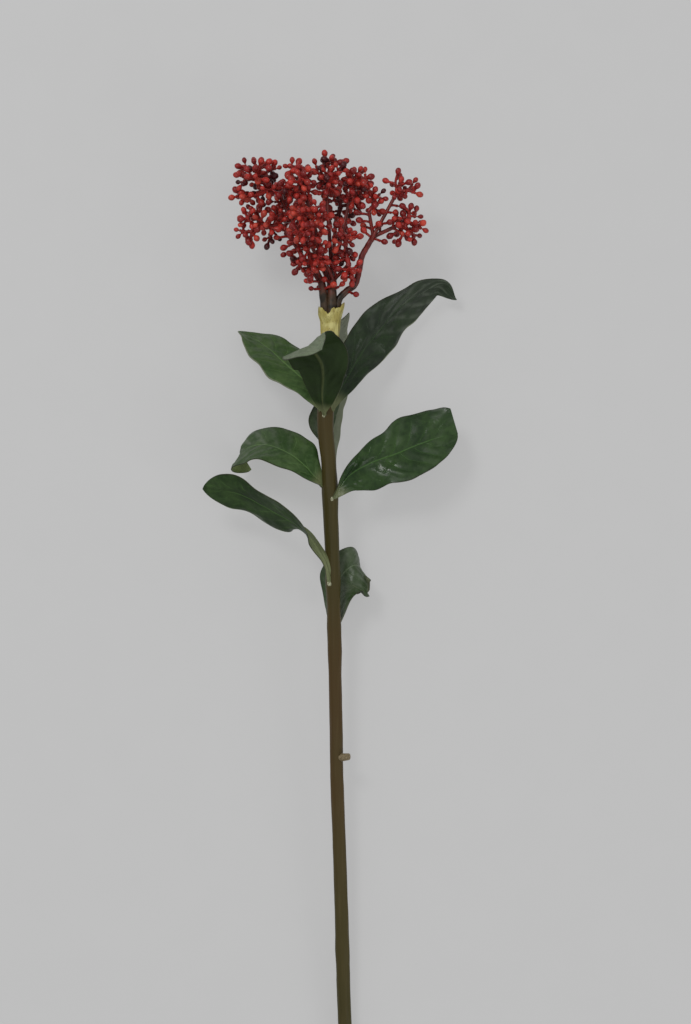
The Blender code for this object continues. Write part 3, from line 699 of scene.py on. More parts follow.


# %% [markdown]
# ## The leaf's finish
# The coating is a dark, mottled green with a soft gloss that comes and goes. The veins are painted where the
# puckers meet, as faint threads. One margin of some blades is rolled over, with a painted highlight along its
# rim, and some blades have a painted sheen on their puckers, pale and stronger towards the tip.

# %% Write the leaf's paint
LOWER_TONE = (0.030, 0.044, 0.012)
PAINTED_SHEEN_TONE = (0.120, 0.140, 0.105)
RIDGE_TONE = (0.105, 0.120, 0.042)
STALK_TONE = (0.135, 0.150, 0.070)
RIM_TONE = (0.016, 0.016, 0.008)
RIM_HIGHLIGHT_TONE = (0.170, 0.190, 0.125)


def leaf_paint(name, deep, fresh, veins, gloss, lower=LOWER_TONE, rim_highlight=0, rim_from=0.95, stalk_to=0.13,
               painted_sheen_strength=0.0):
    paint = Paint(name, specular=0.2)
    uv = paint.node("ShaderNodeUVMap", {"uv_map": "UVMap"}, {})
    across = (paint.axis(uv, "X") - 0.5) * 2.0
    along = paint.axis(uv, "Y")
    where = paint.place()
    phase = paint.reading("veins")
    phase = phase + (paint.noise(where, 160.0, 2.0) - 0.5) * 0.12
    off_vein = abs(phase.math("FRACT") - 0.5) * 2.0
    broken = paint.rise(paint.noise(where, 60.0, 2.0), 0.35, 0.6)
    reach = (1 - paint.rise(abs(across), 0.5, 0.9)) * broken
    thread = paint.rise(off_vein, 0.93, 0.985) * reach
    halo = paint.rise(off_vein, 0.5, 0.95) * reach
    rib_width = 0.045 - along * 0.025
    midrib = 1 - paint.rise(abs(across), rib_width * 0.4, rib_width * 1.2)
    midrib = midrib * (1 - paint.rise(along, 0.75, 0.97))
    mottle = paint.noise(where, 75.0, 5.0, 0.65)
    fine = paint.noise(where, 420.0, 4.0, 0.6)
    ripple = paint.noise(where, 190.0, 2.0, 0.5)
    sheen = paint.rise(paint.noise(where, 42.0, 2.0, 0.6), 0.45, 0.58)
    under = paint.rise(paint.reading("underside"), 0.4, 0.6)
    green = paint.mix(paint.rise(mottle, 0.36, 0.66), deep, fresh)
    green = paint.mix(paint.rise(1 - fine, 0.5, 0.7) * 0.35, green, times(0.6, deep))
    green = paint.mix(paint.rise(fine, 0.5, 0.75) * 0.3, green, times(1.5, fresh))
    green = paint.mix(halo * 0.2 * veins, green, times(1.6, fresh))
    green = paint.mix(thread * 0.4 * veins, green, times(2.6, fresh))
    green = paint.mix(midrib * 0.45 * veins, green, times(2.8, fresh))
    # Painted sheen: a pale grey-green on one side of each pucker, growing towards the tip.
    fold = phase.math("FRACT")
    sheen_crest = paint.rise(fold, 0.1, 0.35) * (1 - paint.rise(fold, 0.4, 0.75)) * paint.rise(ripple, 0.3, 0.6)
    painted_sheen = paint.rise(along, 0.15, 0.85) * (sheen_crest * 0.75 + 0.25) * painted_sheen_strength
    green = paint.mix(painted_sheen, green, PAINTED_SHEEN_TONE)
    dull = paint.mix(paint.rise(mottle, 0.35, 0.65), lower, times(1.4, lower))
    dull = paint.mix(thread * 0.3, dull, times(1.7, lower))
    ridge = 1 - paint.rise(abs(across), rib_width, rib_width * 2.2)
    dull = paint.mix(ridge * 0.35, dull, RIDGE_TONE)
    colour = paint.mix(under, green, dull)
    stalk = 1 - paint.rise(along, stalk_to * 0.3, stalk_to)
    colour = paint.mix(stalk * 0.75, colour, STALK_TONE)
    colour = paint.mix(paint.rise(abs(across), 0.955, 0.985) * 0.6, colour, RIM_TONE)
    # Painted highlight: a pale band along one rolled margin, and a wide one over the outer part of one side
    # of leaf_middle_rear.
    if rim_highlight:
        edge = paint.rise(across * float(rim_highlight) + (mottle - 0.5) * 0.06, rim_from, rim_from + 0.035)
        colour = paint.mix(edge * paint.rise(along, 0.08, 0.2) * 0.8, colour, RIM_HIGHLIGHT_TONE)
    rough = under * (0.62 - gloss) + gloss + (1 - sheen) * (1 - under) * 0.24
    tall = midrib * -0.5 - thread * 0.6 + fine * 0.45 + mottle * 0.9 + ripple * sheen * 2.2
    paint.set(Base_Color=colour, Roughness=rough, Normal=paint.bump(tall, 0.00028))
    return paint


LEAF_TONES = {
    "leaf_top_left": dict(
        deep=(0.024, 0.056, 0.012), fresh=(0.048, 0.088, 0.024),
        veins=0.9, gloss=0.36, rim_highlight=-1, painted_sheen_strength=0.2),
    # leaf_top_front: its upper face, seen where it folds over, is a pale grey-green that is painted sheen,
    # and its underside is darker than the other undersides, a painted shade.
    "leaf_top_front": dict(
        deep=(0.100, 0.130, 0.078), fresh=(0.140, 0.170, 0.112),
        veins=0.4, gloss=0.40, lower=(0.009, 0.020, 0.003)),
    "leaf_top_right": dict(
        deep=(0.003, 0.010, 0.002), fresh=(0.009, 0.022, 0.005),
        veins=0.9, gloss=0.17, rim_highlight=1, painted_sheen_strength=0.42),
    # leaf_top_rear: both faces are a pale grey-green, a painted reflection of its gloss, made lighter still
    # to lift the shade it lies in behind the collar.
    "leaf_top_rear": dict(
        deep=(0.300, 0.330, 0.240), fresh=(0.360, 0.390, 0.290),
        veins=0.4, gloss=0.42, lower=(0.300, 0.330, 0.240)),
    "leaf_middle_left": dict(
        deep=(0.018, 0.045, 0.009), fresh=(0.044, 0.080, 0.024),
        veins=1.0, gloss=0.34, painted_sheen_strength=0.7, lower=(0.120, 0.160, 0.055)),
    "leaf_middle_right": dict(
        deep=(0.006, 0.022, 0.003), fresh=(0.022, 0.050, 0.011),
        veins=1.0, gloss=0.20, painted_sheen_strength=0.12),
    "leaf_middle_rear": dict(
        deep=(0.030, 0.050, 0.019), fresh=(0.055, 0.078, 0.038),
        veins=0.5, gloss=0.40, rim_highlight=1, rim_from=0.55),
    "leaf_low_left": dict(
        deep=(0.009, 0.025, 0.004), fresh=(0.024, 0.050, 0.012),
        veins=1.3, gloss=0.40, rim_highlight=-1, lower=(0.090, 0.110, 0.050), stalk_to=0.3),
    "leaf_low_rear": dict(
        deep=(0.022, 0.044, 0.012), fresh=(0.060, 0.080, 0.044),
        veins=0.7, gloss=0.30, painted_sheen_strength=0.6, lower=(0.100, 0.115, 0.065)),
}
for name, spec in LEAVES.items():
    blade = build_leaf(name, **spec)
    finish_piece(blade, name.replace("leaf", "blade"), leaf_paint(name, **LEAF_TONES[name]), "leaf", name)

# %% [markdown]
# ## The limbs of the head
# Four stalks stand in the collar and fork into boughs. Their places are the solids' own, written again here.
# A bough starts inside its parent and bends smoothly out of it, as moulded plastic does.

# %% Plan the limbs
MOUTH = COLLAR_MOUTH
LIMB_GAP = 0.35
# Foot, tip and the radius at each, from the middle of the collar's mouth
STALKS = {
    "stalk_left": ((-2.6, -6.9, 0.2), (-5.5, 14.0, 3.0), (1.6, 1.6)),
    "stalk_middle": ((0.1, -6.9, 2.55), (0.5, 15.0, 2.0), (1.6, 2.0)),
    "stalk_back": ((-0.2, -6.9, -2.55), (-0.5, 14.5, -6.0), (1.5, 1.6)),
    "stalk_right": ((2.4, -6.9, -0.2), (4.3, 4.8, -0.3), (1.5, 1.5)),
}
# Parent, place on the parent's tip, own tip and the radius at each end
BOUGHS = {
    "bough_right_low": ("stalk_right", (0, 0), (13.2, 13.0, 0.0), (1.5, 1.3)),
    "bough_right_middle": ("bough_right_low", (0, 0), (17.0, 28.5, 0.0), (1.3, 1.2)),
    "bough_right_high": ("bough_right_middle", (0, 0), (23.5, 40.0, 0.0), (1.15, 1.0)),
    "bough_low_left": ("stalk_left", (0.2, 1.3), (-9.0, 21.0, 8.5), (0.85, 0.75)),
    "bough_lower_left": ("stalk_left", (-1.3, -0.2), (-24.5, 41.0, 3.0), (0.9, 0.75)),
    "bough_upper_left": ("stalk_left", (0.4, -1.3), (-28.0, 60.5, -3.0), (0.9, 0.75)),
    "bough_centre_front": ("stalk_middle", (0, 1.5), (-9.0, 36.5, 17.0), (0.85, 0.75)),
    "bough_top_left": ("stalk_middle", (-1.5, 0), (-13.0, 57.0, 6.0), (0.85, 0.75)),
    "bough_top": ("stalk_middle", (0, -1.5), (-2.5, 61.0, -3.0), (0.85, 0.75)),
    "bough_low_right": ("stalk_middle", (1.5, 0), (7.5, 21.5, 6.0), (0.85, 0.75)),
    "bough_back_left": ("stalk_back", (-1.2, -0.7), (-16.0, 46.0, -19.0), (0.9, 0.75)),
    "bough_back_right": ("stalk_back", (0.7, -1.3), (2.0, 45.5, -21.0), (0.9, 0.75)),
    "bough_top_right": ("stalk_back", (0.7, 1.1), (9.5, 57.5, -6.0), (0.85, 0.75)),
    "bough_right_lower": ("bough_right_high", (1.2, -0.3), (36.0, 45.5, 0.0), (0.9, 0.75)),
    "bough_right_upper": ("bough_right_high", (0, 1.35), (33.5, 58.5, 0.0), (0.8, 0.7)),
    "bough_right_inner": ("bough_right_high", (-1.1, -0.3), (21.5, 51.0, 0.0), (0.8, 0.7)),
}


def plan_limbs():
    """Foot, tip and radii of each stalk and bough, every child starting just clear of its parent."""
    planned = {}
    for name, (foot, tip, radii) in STALKS.items():
        planned[name] = (MOUTH + Vector(foot), MOUTH + Vector(tip), *radii)
    for name, (parent, seat, reach, radii) in BOUGHS.items():
        foot, tip = planned[parent][:2]
        along = (tip - foot).normalized()
        aim = MOUTH + Vector(reach)
        side = Vector((seat[0], 0.0, seat[1]))
        lean = math.sin((aim - tip).angle(along))
        start = tip + along * (LIMB_GAP + radii[0] * lean) + side - along * side.dot(along)
        planned[name] = (start, aim, *radii)
    return planned


limbs = plan_limbs()
print(len(limbs), "limbs planned")

# %% [markdown]
# ## The rule of the bud masses
# Each mass keeps to its own space. Seeded chance scatters bud places in it, spaced apart, nearer to its own
# centre than to any other. Twigs then fork in twos and threes from the bough's tip to all of them, and a bud
# whose twig would touch a limb or another mass is given up. This is the solids' rule, written again.

# %% Write the rule
# Each mass grows from the bough of the same name
MASSES = {
    "buds_upper_left": dict(centre=(-41, 69, 4), reach=(20, 18, 17), buds=29, seed=3),
    "buds_lower_left": dict(centre=(-39, 49, 1), reach=(18, 17, 16), buds=27, seed=5),
    "buds_top_left": dict(centre=(-19, 70, 9), reach=(13, 15, 15), buds=22, seed=1),
    "buds_top": dict(centre=(-1, 75, 0), reach=(13, 16, 16), buds=22, seed=2),
    "buds_top_right": dict(centre=(13, 68, -2), reach=(14, 13, 15), buds=20, seed=4),
    "buds_centre_front": dict(centre=(-13, 46, 22), reach=(15, 15, 14), buds=22, seed=6),
    "buds_low_left": dict(centre=(-12, 30, 10), reach=(15, 17, 13), buds=19, seed=7),
    "buds_low_right": dict(centre=(8, 31, 7), reach=(11, 22, 11), buds=18, seed=8),
    "buds_right_upper": dict(centre=(39, 68, 0), reach=(14, 11, 8), buds=11, seed=9),
    "buds_right_lower": dict(centre=(42, 45, 0), reach=(14, 15, 9), buds=16, seed=10),
    "buds_right_inner": dict(centre=(26, 58, 0), reach=(10, 13, 8), buds=9, seed=11),
    "buds_back_left": dict(centre=(-23, 60, -25), reach=(17, 17, 16), buds=18, seed=12),
    "buds_back_right": dict(centre=(4, 60, -26), reach=(17, 17, 16), buds=18, seed=13),
}
BUD_TRIES = 3000
BUD_SPACING = 6.1
BUD_RADIUS = 2.3
PEDICEL_RADIUS = 0.55
PEDICEL_LENGTH = 4.0
TWIG_GROWTH = 0.13
TWIG_SHARE = 0.45
TWIG_SHORTEST = 1.2
ROOT_LENGTH = 2.5
CELL_MARGIN = 0.5
CLEARANCE = 0.4
BUD_STANDOFF = 1.0
BUD_HALF_CORE = 0.8
ROOMY = 100.0


def segment_gap(a, b, c, d):
    """Shortest distance between the segments a to b and c to d."""
    u, v, w = b - a, d - c, a - c
    uu, uv, vv, uw, vw = u.dot(u), u.dot(v), v.dot(v), u.dot(w), v.dot(w)
    down = uu * vv - uv * uv
    s = min(max((uv * vw - vv * uw) / down, 0.0), 1.0) if down > 1e-9 else 0.0
    t = min(max((uv * s + vw) / vv, 0.0), 1.0) if vv > 1e-9 else 0.0
    s = min(max((uv * t - uw) / uu, 0.0), 1.0) if uu > 1e-9 else 0.0
    return (w + u * s - v * t).length


def cell_room(point, name, centres):
    """How far a point lies inside the space nearer to its own mass's centre than to any other."""
    own = centres[name]
    room = ROOMY
    for other, centre in centres.items():
        if other != name:
            apart = centre - own
            room = min(room, ((own + centre) / 2 - point).dot(apart.normalized()))
    return room


def scatter_buds(name, spec, centres, taken):
    """Seeded bud places in the outer part of a mass's space, spaced apart and clear of the limbs."""
    chance = random.Random(spec["seed"])
    centre = centres[name]
    found = []
    for _ in range(BUD_TRIES):
        if len(found) == spec["buds"]:
            break
        way = Vector([chance.gauss(0, 1) for _ in range(3)]).normalized()
        depth = (0.15 + 0.85 * chance.random()) ** 0.5
        offset = Vector([way[i] * (spec["reach"][i] - BUD_RADIUS) * depth for i in range(3)])
        place = centre + offset
        if any((place - other).length < BUD_SPACING for other in found + taken):
            continue
        if cell_room(place, name, centres) < CELL_MARGIN:
            continue
        gaps = (segment_gap(place, place, foot, tip) - thick for foot, tip, thick, _ in limbs.values())
        if any(gap < BUD_RADIUS + BUD_STANDOFF for gap in gaps):
            continue
        found.append(place)
    return found


def split_buds(places, fork, parts):
    """Groups of buds that lie the same way from a fork."""
    ways = [(p - fork).normalized() for p in places]
    seeds = [0]
    while len(seeds) < parts:
        spread = [min((w - ways[s]).length for s in seeds) for w in ways]
        seeds.append(spread.index(max(spread)))
    groups = [[] for _ in seeds]
    for place, way in zip(places, ways):
        near = [(way - ways[s]).length for s in seeds]
        groups[near.index(min(near))].append(place)
    return [group for group in groups if group]


def twig_radius(carried):
    return PEDICEL_RADIUS + TWIG_GROWTH * (math.sqrt(carried) - 1)


def grow(start, way, places, twigs, buds):
    """Branches from a start to all the buds. Each twig also remembers the way that its parent came."""
    if len(places) == 1:
        buds.append((start, places[0], way))
        return
    middle = sum(places, Vector()) / len(places)
    away = middle - start
    step = max(away.length - PEDICEL_LENGTH, 0.0) if len(places) <= 3 else away.length * TWIG_SHARE
    fork = start
    if step > TWIG_SHORTEST:
        fork = start + away.normalized() * step
        twigs.append((start, fork, len(places), places, way))
        way = away.normalized()
    for group in split_buds(places, fork, 3 if len(places) > 2 else 2):
        grow(fork, way, group, twigs, buds)


def mass_capsules(root, twigs, buds):
    """Every twig and bud as a segment, a radius and the buds that hang on it."""
    capsules = [(root[0], root[1], root[2], [place for _, place, _ in buds])]
    capsules += [(a, b, twig_radius(n), carried) for a, b, n, carried, _ in twigs]
    for fork, place, _ in buds:
        way = (place - fork).normalized()
        capsules.append((fork, place, PEDICEL_RADIUS, [place]))
        capsules.append((place - way * BUD_HALF_CORE, place + way * BUD_HALF_CORE, BUD_RADIUS, [place]))
    return capsules


def clashing_buds(capsules, obstacles):
    """Buds to give up, because what carries them comes too near something else."""
    for a, b, radius, carried in capsules:
        for c, d, other in obstacles:
            reach = radius + other + CLEARANCE
            if (a + b - c - d).length / 2 > reach + ((a - b).length + (c - d).length) / 2:
                continue
            if segment_gap(a, b, c, d) < reach:
                return carried if len(carried) <= 3 else carried[:2]
    return []


def plan_masses():
    """Root, twigs and buds of every mass, each clear of the limbs and of the masses before it."""
    centres = {name: MOUTH + Vector(spec["centre"]) for name, spec in MASSES.items()}
    obstacles = [(foot, tip, thick) for foot, tip, thick, _ in limbs.values()]
    plans, taken = {}, []
    for name, spec in MASSES.items():
        foot, tip, _, thin = limbs[name.replace("buds", "bough")]
        along = (tip - foot).normalized()
        root = (tip + along * LIMB_GAP, tip + along * (LIMB_GAP + ROOT_LENGTH), thin)
        places = scatter_buds(name, spec, centres, taken)
        others = [item for item in obstacles if item[:2] != (foot, tip)]
        while True:
            twigs, buds = [], []
            grow(root[1], along, places, twigs, buds)
            capsules = mass_capsules(root, twigs, buds)
            lost = clashing_buds(capsules[1:], others)
            if not lost or len(places) <= len(lost) + 2:
                break
            places = [p for p in places if p not in lost]
        plans[name] = (root, twigs, buds)
        taken += places
        obstacles += [capsule[:3] for capsule in capsules]
    return plans


plans = plan_masses()
print(sum(len(plan[2]) for plan in plans.values()), "bud places in", len(plans), "masses")

# %% [markdown]
# ## Finer twigs
# A bud of the solids stands for a sprig. Here each sprig keeps its middle bud, at its real size, and carries
# side buds on pedicels of their own, as the real moulding does, wherever they touch nothing else.

# %% Grow the sprigs
TRUE_BUD_RADIUS = 1.75
TRUE_BUD_LENGTH = 5.2
SIDE_LENGTH = 4.2
SIDE_SPREAD = (38.0, 62.0)
SIDE_SPACING = 3.8
REACH_SLACK = 1.3
SIDE_TRIES = 20
SIDE_BUDS = 3
THIN_SIDE_BUDS = 1
THIN_MASSES = ("buds_right_upper", "buds_right_lower", "buds_right_inner")


def inside_reach(point, name):
    spec = MASSES[name]
    offset = point - MOUTH - Vector(spec["centre"])
    return sum((offset[i] / spec["reach"][i]) ** 2 for i in range(3)) <= REACH_SLACK


def crowded(bud):
    """Whether a side bud would touch another bud, a limb or a twig."""
    if any((bud - other).length < SIDE_SPACING for other in standing):
        return True
    return any(segment_gap(bud, bud, a, b) < radius + TRUE_BUD_RADIUS for a, b, radius in solid)


def grow_sides(name, buds, most, chance):
    """Side buds of one mass's sprigs: where each pedicel leaves, its bud's place and its parent's way."""
    found = []
    for fork, place, _ in buds:
        way = (place - fork).normalized()
        length = (place - fork).length
        across = way.orthogonal().normalized()
        first = chance.uniform(0, math.tau)
        made = 0
        for k in range(SIDE_TRIES):
            if made == most:
                break
            about = Matrix.Rotation(first + math.pi * k + chance.uniform(-0.5, 0.5), 3, way)
            lean = Matrix.Rotation(math.radians(chance.uniform(*SIDE_SPREAD)), 3, about @ across)
            leave = fork + way * (length * chance.uniform(0.25, 0.5))
            side = leave + lean @ way * (SIDE_LENGTH * chance.uniform(0.85, 1.15))
            if not inside_reach(side, name) or (GROWN @ side).z < TRUE_BUD_LENGTH / 2 * MM:
                continue
            if crowded(side):
                continue
            standing.append(side)
            found.append((leave, side, way))
            made += 1
    return found


# Limbs that carry sprigs of their own, and the stretch of each that does
SPRIG_LIMBS = {
    "stalk_middle": (0.65, 1.0), "stalk_left": (0.72, 1.0), "bough_right_low": (0.3, 0.6),
    "bough_right_high": (0.75, 1.0), "bough_right_lower": (0.05, 1.0), "bough_right_upper": (0.05, 1.0),
    "bough_right_inner": (0.1, 1.0), "bough_low_right": (0.0, 1.0), "bough_low_left": (0.0, 1.0),
    "bough_lower_left": (0.1, 1.0), "bough_upper_left": (0.2, 1.0), "bough_centre_front": (0.6, 1.0),
}
SPRIG_STEP = 4.2
SPRIG_SPREAD = (40.0, 65.0)
SPRIG_REACH = (5.0, 7.5)


def grow_along(name, chance):
    """Pairs of buds along a limb, on pedicels that leave it one to each side."""
    foot, tip, thick, _ = limbs[name]
    way = (tip - foot).normalized()
    across = way.cross(Vector((0, 0, 1))).normalized()
    low, high = [(tip - foot).length * part for part in SPRIG_LIMBS[name]]
    found = []
    for k in range(int((high - low) / SPRIG_STEP) + 1):
        leave = foot + way * (low + SPRIG_STEP * k)
        for side in (-1, 1):
            about = Matrix.Rotation(chance.uniform(-1.0, 1.0), 3, way)
            lean = math.radians(chance.uniform(*SPRIG_SPREAD))
            heading = way * math.cos(lean) + about @ across * (side * math.sin(lean))
            bud = leave + heading * (chance.uniform(*SPRIG_REACH) + thick)
            if not crowded(bud):
                standing.append(bud)
                found.append((leave, bud, way))
    return found


standing = [place for _, _, buds in plans.values() for _, place, _ in buds]
solid = [(foot, tip, thick) for foot, tip, thick, _ in limbs.values()]
solid += [(a, b, twig_radius(n)) for _, twigs, _ in plans.values() for a, b, n, _, _ in twigs]
chance = random.Random(21)
sides = {}
for name, (_, _, buds) in plans.items():
    most = THIN_SIDE_BUDS if name in THIN_MASSES else SIDE_BUDS
    sides[name] = grow_sides(name, buds, most, chance)
for name in SPRIG_LIMBS:
    sides[name] = grow_along(name, chance)
print(sum(len(found) for found in sides.values()), "side buds")

# %% [markdown]
# ## Tubes and buds as arrays
# There are about 1300 small shapes here, so they aren't made one by one with operators. One bud is
# modelled with them, and its points are then copied to each place. A twig is a bent tube that leaves its
# parent's way. All shapes of a kind are gathered into one mesh.

# %% Write the gatherer
class Heap:
    """Points and faces of many small shapes that become one mesh."""

    def __init__(self):
        self.points = []
        self.faces = []

    def add(self, points, faces):
        base = len(self.points)
        self.points += points
        self.faces += [tuple(base + v for v in face) for face in faces]

    def piece(self, name):
        mesh = bpy.data.meshes.new(name)
        mesh.from_pydata(self.points, [], self.faces)
        thing = bpy.data.objects.new(name, mesh)
        bpy.context.scene.collection.objects.link(thing)
        return thing


def tube(line, radii, sides):
    """Points and faces of a closed round limb along a line, with rounded ends."""
    along = headings(line)
    side = along[0].orthogonal()
    points, faces = [], []
    for i, (centre, way, across) in enumerate(zip(line, along, sides_along(along, side))):
        up = way.cross(across)
        for k in range(sides):
            angle = math.tau * k / sides
            points.append(centre + (across * math.cos(angle) + up * math.sin(angle)) * radii[i])
        if i:
            low = (i - 1) * sides
            for k in range(sides):
                n = (k + 1) % sides
                faces.append((low + k, low + n, low + sides + n, low + sides + k))
    points += [line[0] - along[0] * radii[0] * 0.5, line[-1] + along[-1] * radii[-1] * 0.5]
    foot, tip, last = len(points) - 2, len(points) - 1, len(points) - 2 - sides
    faces += [((k + 1) % sides, k, foot) for k in range(sides)]
    faces += [(last + k, last + (k + 1) % sides, tip) for k in range(sides)]
    return points, faces


def bent(start, end, way, steps, pull=0.42):
    """A line from start to end that leaves along way and swings over to its own direction."""
    reach = (end - start).length
    handle = start + way * (reach * pull)
    line = []
    for i in range(steps + 1):
        t = i / steps
        line.append(start * (1 - t) ** 2 + handle * 2 * t * (1 - t) + end * t * t)
    return line


# %% [markdown]
# The bud is a small sphere, drawn out to a pear: narrow where the pedicel enters, widest near its far end,
# with a shallow dimple at the tip where the petals would part.

# %% Model one bud
BUD_SEGMENTS = 12
BUD_RINGS = 9
start_mesh()
bpy.ops.mesh.primitive_uv_sphere_add(segments=BUD_SEGMENTS, ring_count=BUD_RINGS, radius=1.0)
pattern = bpy.context.object


def pear(flat):
    """A point of the unit sphere on the bud's pear shape, whose axis is z."""
    round_part = math.hypot(flat.x, flat.y)
    narrow = 0.30 + 0.70 * share(flat.z, -1.05, 0.3)
    dimple = 0.10 * math.exp(-(round_part / 0.22) ** 2) if flat.z > 0 else 0.0
    lobes = 1 + 0.025 * math.cos(4 * math.atan2(flat.y, flat.x)) * share(flat.z, 0.1, 0.9)
    return Vector((flat.x * narrow * lobes, flat.y * narrow * lobes, flat.z - dimple))


move_points(pattern, pear)
bud_points, bud_faces = take_shape(pattern)
print("One bud has", len(bud_faces), "faces")

# %% [markdown]
# ## Dealing out the colours
# The buds aren't all one red. More than half are brick and many are crimson, more so to the right. Brighter
# orange-red ones are likelier low in front, where the light falls, and are partly a painted highlight. Nearly
# black ones are likelier at the top, and at the back as painted shade. A joined mesh should not carry a
# pattern that has a place, so each bud is dealt to one of four plain finishes, by its place and by seeded
# chance.

# %% Gather the buds and the twigs
BUD_FINISHES = {
    "brick": (0.290, 0.022, 0.016),
    # A lighter, more orange red: partly real, partly a painted highlight.
    "ember": (0.340, 0.036, 0.022),
    "crimson": (0.180, 0.012, 0.011),
    # Nearly black: real at the top of the head, painted shade at its back.
    "wine": (0.050, 0.007, 0.008),
}
bud_heaps = {tone: Heap() for tone in BUD_FINISHES}
twig_heaps = {"red": Heap(), "dark": Heap()}
PEDICEL_THIN = 0.72
PEDICEL_SIDES = 8
TWIG_FLESH = 0.45
TWIG_SIDES = 9
# Twigs further back than this take the dark finish: painted shade. Pedicels of nearly black buds take it too.
DARK_BEHIND = -12.0
BUD_GLOSS = 0.22
tint = random.Random(5)


def bud_tone(place):
    """The finish of a bud: lighter orange-red ones, partly a painted highlight, are likelier low in front,
    nearly black ones at the top and, as painted shade, at the back, crimson ones to the right.
    """
    x, y, z = place - MOUTH
    roll = tint.random()
    front = share(z, -8.0, 26.0)
    high = share(y, 55.0, 88.0)
    # Painted shade: more nearly black buds at the back.
    if roll < 0.02 + 0.10 * high + 0.06 * (1 - front):
        return "wine"
    # Painted highlight: more of the lighter orange-red buds low in front.
    if roll > 0.96 - 0.22 * front * (1 - high):
        return "ember"
    return "crimson" if tint.random() < 0.25 + 0.35 * share(x, 10.0, 40.0) else "brick"


def add_bud(fork, place, way):
    """A bent pedicel with a bud at its end."""
    heading = (place - fork).normalized()
    size = tint.uniform(0.78, 1.18)
    tone = bud_tone(place)
    foot = place - heading * (TRUE_BUD_LENGTH / 2 * 0.8)
    line = bent(fork, foot, way, 5)
    radii = [PEDICEL_THIN + extra for extra in (0.15, 0, 0, 0, 0.02, 0.1)]
    twig_heaps["dark" if tone == "wine" else "red"].add(*tube(line, radii, PEDICEL_SIDES))
    end_way = (line[-1] - line[-2]).normalized().lerp(heading, 0.5).normalized()
    frame_of = end_way.to_track_quat("Z", "Y").to_matrix()
    spin = Matrix.Rotation(tint.uniform(0, math.tau), 3, "Z")
    round_size = TRUE_BUD_RADIUS * size
    shape = Matrix.Diagonal((round_size, round_size, TRUE_BUD_LENGTH / 2 * size))
    centre = foot + end_way * (TRUE_BUD_LENGTH / 2 * 0.85)
    matrix = frame_of @ spin @ shape
    bud_heaps[tone].add([centre + matrix @ point for point in bud_points], bud_faces)


def add_twig(start, fork, carried, way):
    """A bent twig, swollen where it forks."""
    thick = twig_radius(carried) + TWIG_FLESH
    line = bent(start, fork, way, 6, 0.3)
    radii = [thick * part for part in (1.12, 1, 0.96, 0.94, 0.96, 1.05, 1.25)]
    # Painted shade: twigs at the back of the head take the dark red.
    tone = "dark" if (start - MOUTH).z < DARK_BEHIND else "red"
    twig_heaps[tone].add(*tube(line, radii, TWIG_SIDES))


for name, (root, twigs, buds) in plans.items():
    for start, fork, carried, _, way in twigs:
        add_twig(start, fork, carried, way)
    for fork, place, way in buds:
        add_bud(fork, place, way)
for found in sides.values():
    for fork, place, way in found:
        add_bud(fork, place, way)

# %% [markdown]
# ## Moulded plastic in red
# The buds have a satin coat, which shows as one small highlight on each. A little grain in the roughness
# keeps them from looking like glass.

# %% Finish the buds
def moulded_paint(name, colour, roughness):
    paint = Paint(name, specular=0.24)
    where = paint.place()
    cloud = paint.noise(where, 260.0, 3.0)
    grain = paint.noise(where, 2400.0, 2.0)
    shade = paint.mix(paint.rise(cloud, 0.35, 0.7), times(0.72, colour), times(1.3, colour))
    paint.set(Base_Color=shade, Roughness=paint.rise(grain, 0.3, 0.7) * 0.12 + roughness,
              Normal=paint.bump(grain, 0.00005))
    return paint


# Thirteen solids are dealt out to four pieces: three to each, and the last takes one more
mass_names = list(MASSES)
for i, (tone, heap) in enumerate(bud_heaps.items()):
    paint = moulded_paint("bud_" + tone, BUD_FINISHES[tone], BUD_GLOSS)
    finish_piece(heap.piece(tone), "buds_" + tone, paint, "bud", *mass_names[3 * i:3 * i + 3 + i // 3])
for tone, colour, roughness in (("red", (0.210, 0.014, 0.011), 0.3), ("dark", (0.090, 0.010, 0.009), 0.42)):
    paint = moulded_paint("twig_" + tone, colour, roughness)
    finish_piece(twig_heaps[tone].piece(tone), "twigs_" + tone, paint, "stalk")

# %% [markdown]
# ## Boughs and stalks
# These replace the straight limbs of the solids. Each is a bent tube that starts inside its parent and runs
# on into its mass, where the twigs take over.

# %% Make the limbs
STALK_STEPS = 14
ROOT_SUNK = 3.0


def limb_line(chain):
    """A smooth line through a chain of limbs, from inside its parent to the start of its twigs."""
    points, radii = [], []
    for name in chain:
        foot, tip, thick, thin = limbs[name]
        if not points:
            points.append(foot)
            radii.append(thick)
        points += [foot.lerp(tip, 0.5), tip]
        radii += [(thick + thin) / 2, thin]
    if chain[0] in BOUGHS:
        parent_foot, parent_tip, _, parent_thin = limbs[BOUGHS[chain[0]][0]]
        way = (parent_tip - parent_foot).normalized()
        points.insert(0, parent_tip.lerp(points[0], 0.35) - way * ROOT_SUNK)
        radii.insert(0, min(radii[0] * 1.05, parent_thin))
    else:
        radii[:2] = [radii[0] + FOOT_SWELL, radii[1] + FOOT_SWELL * 0.4]
    if chain[-1].replace("bough", "buds") in MASSES:
        points.append(points[-1] + (tip - foot).normalized() * (LIMB_GAP + ROOT_LENGTH))
        radii.append(thin)
    return even_stations(smooth_values(points, 8), smooth_values(radii, 8), STALK_STEPS * len(chain))


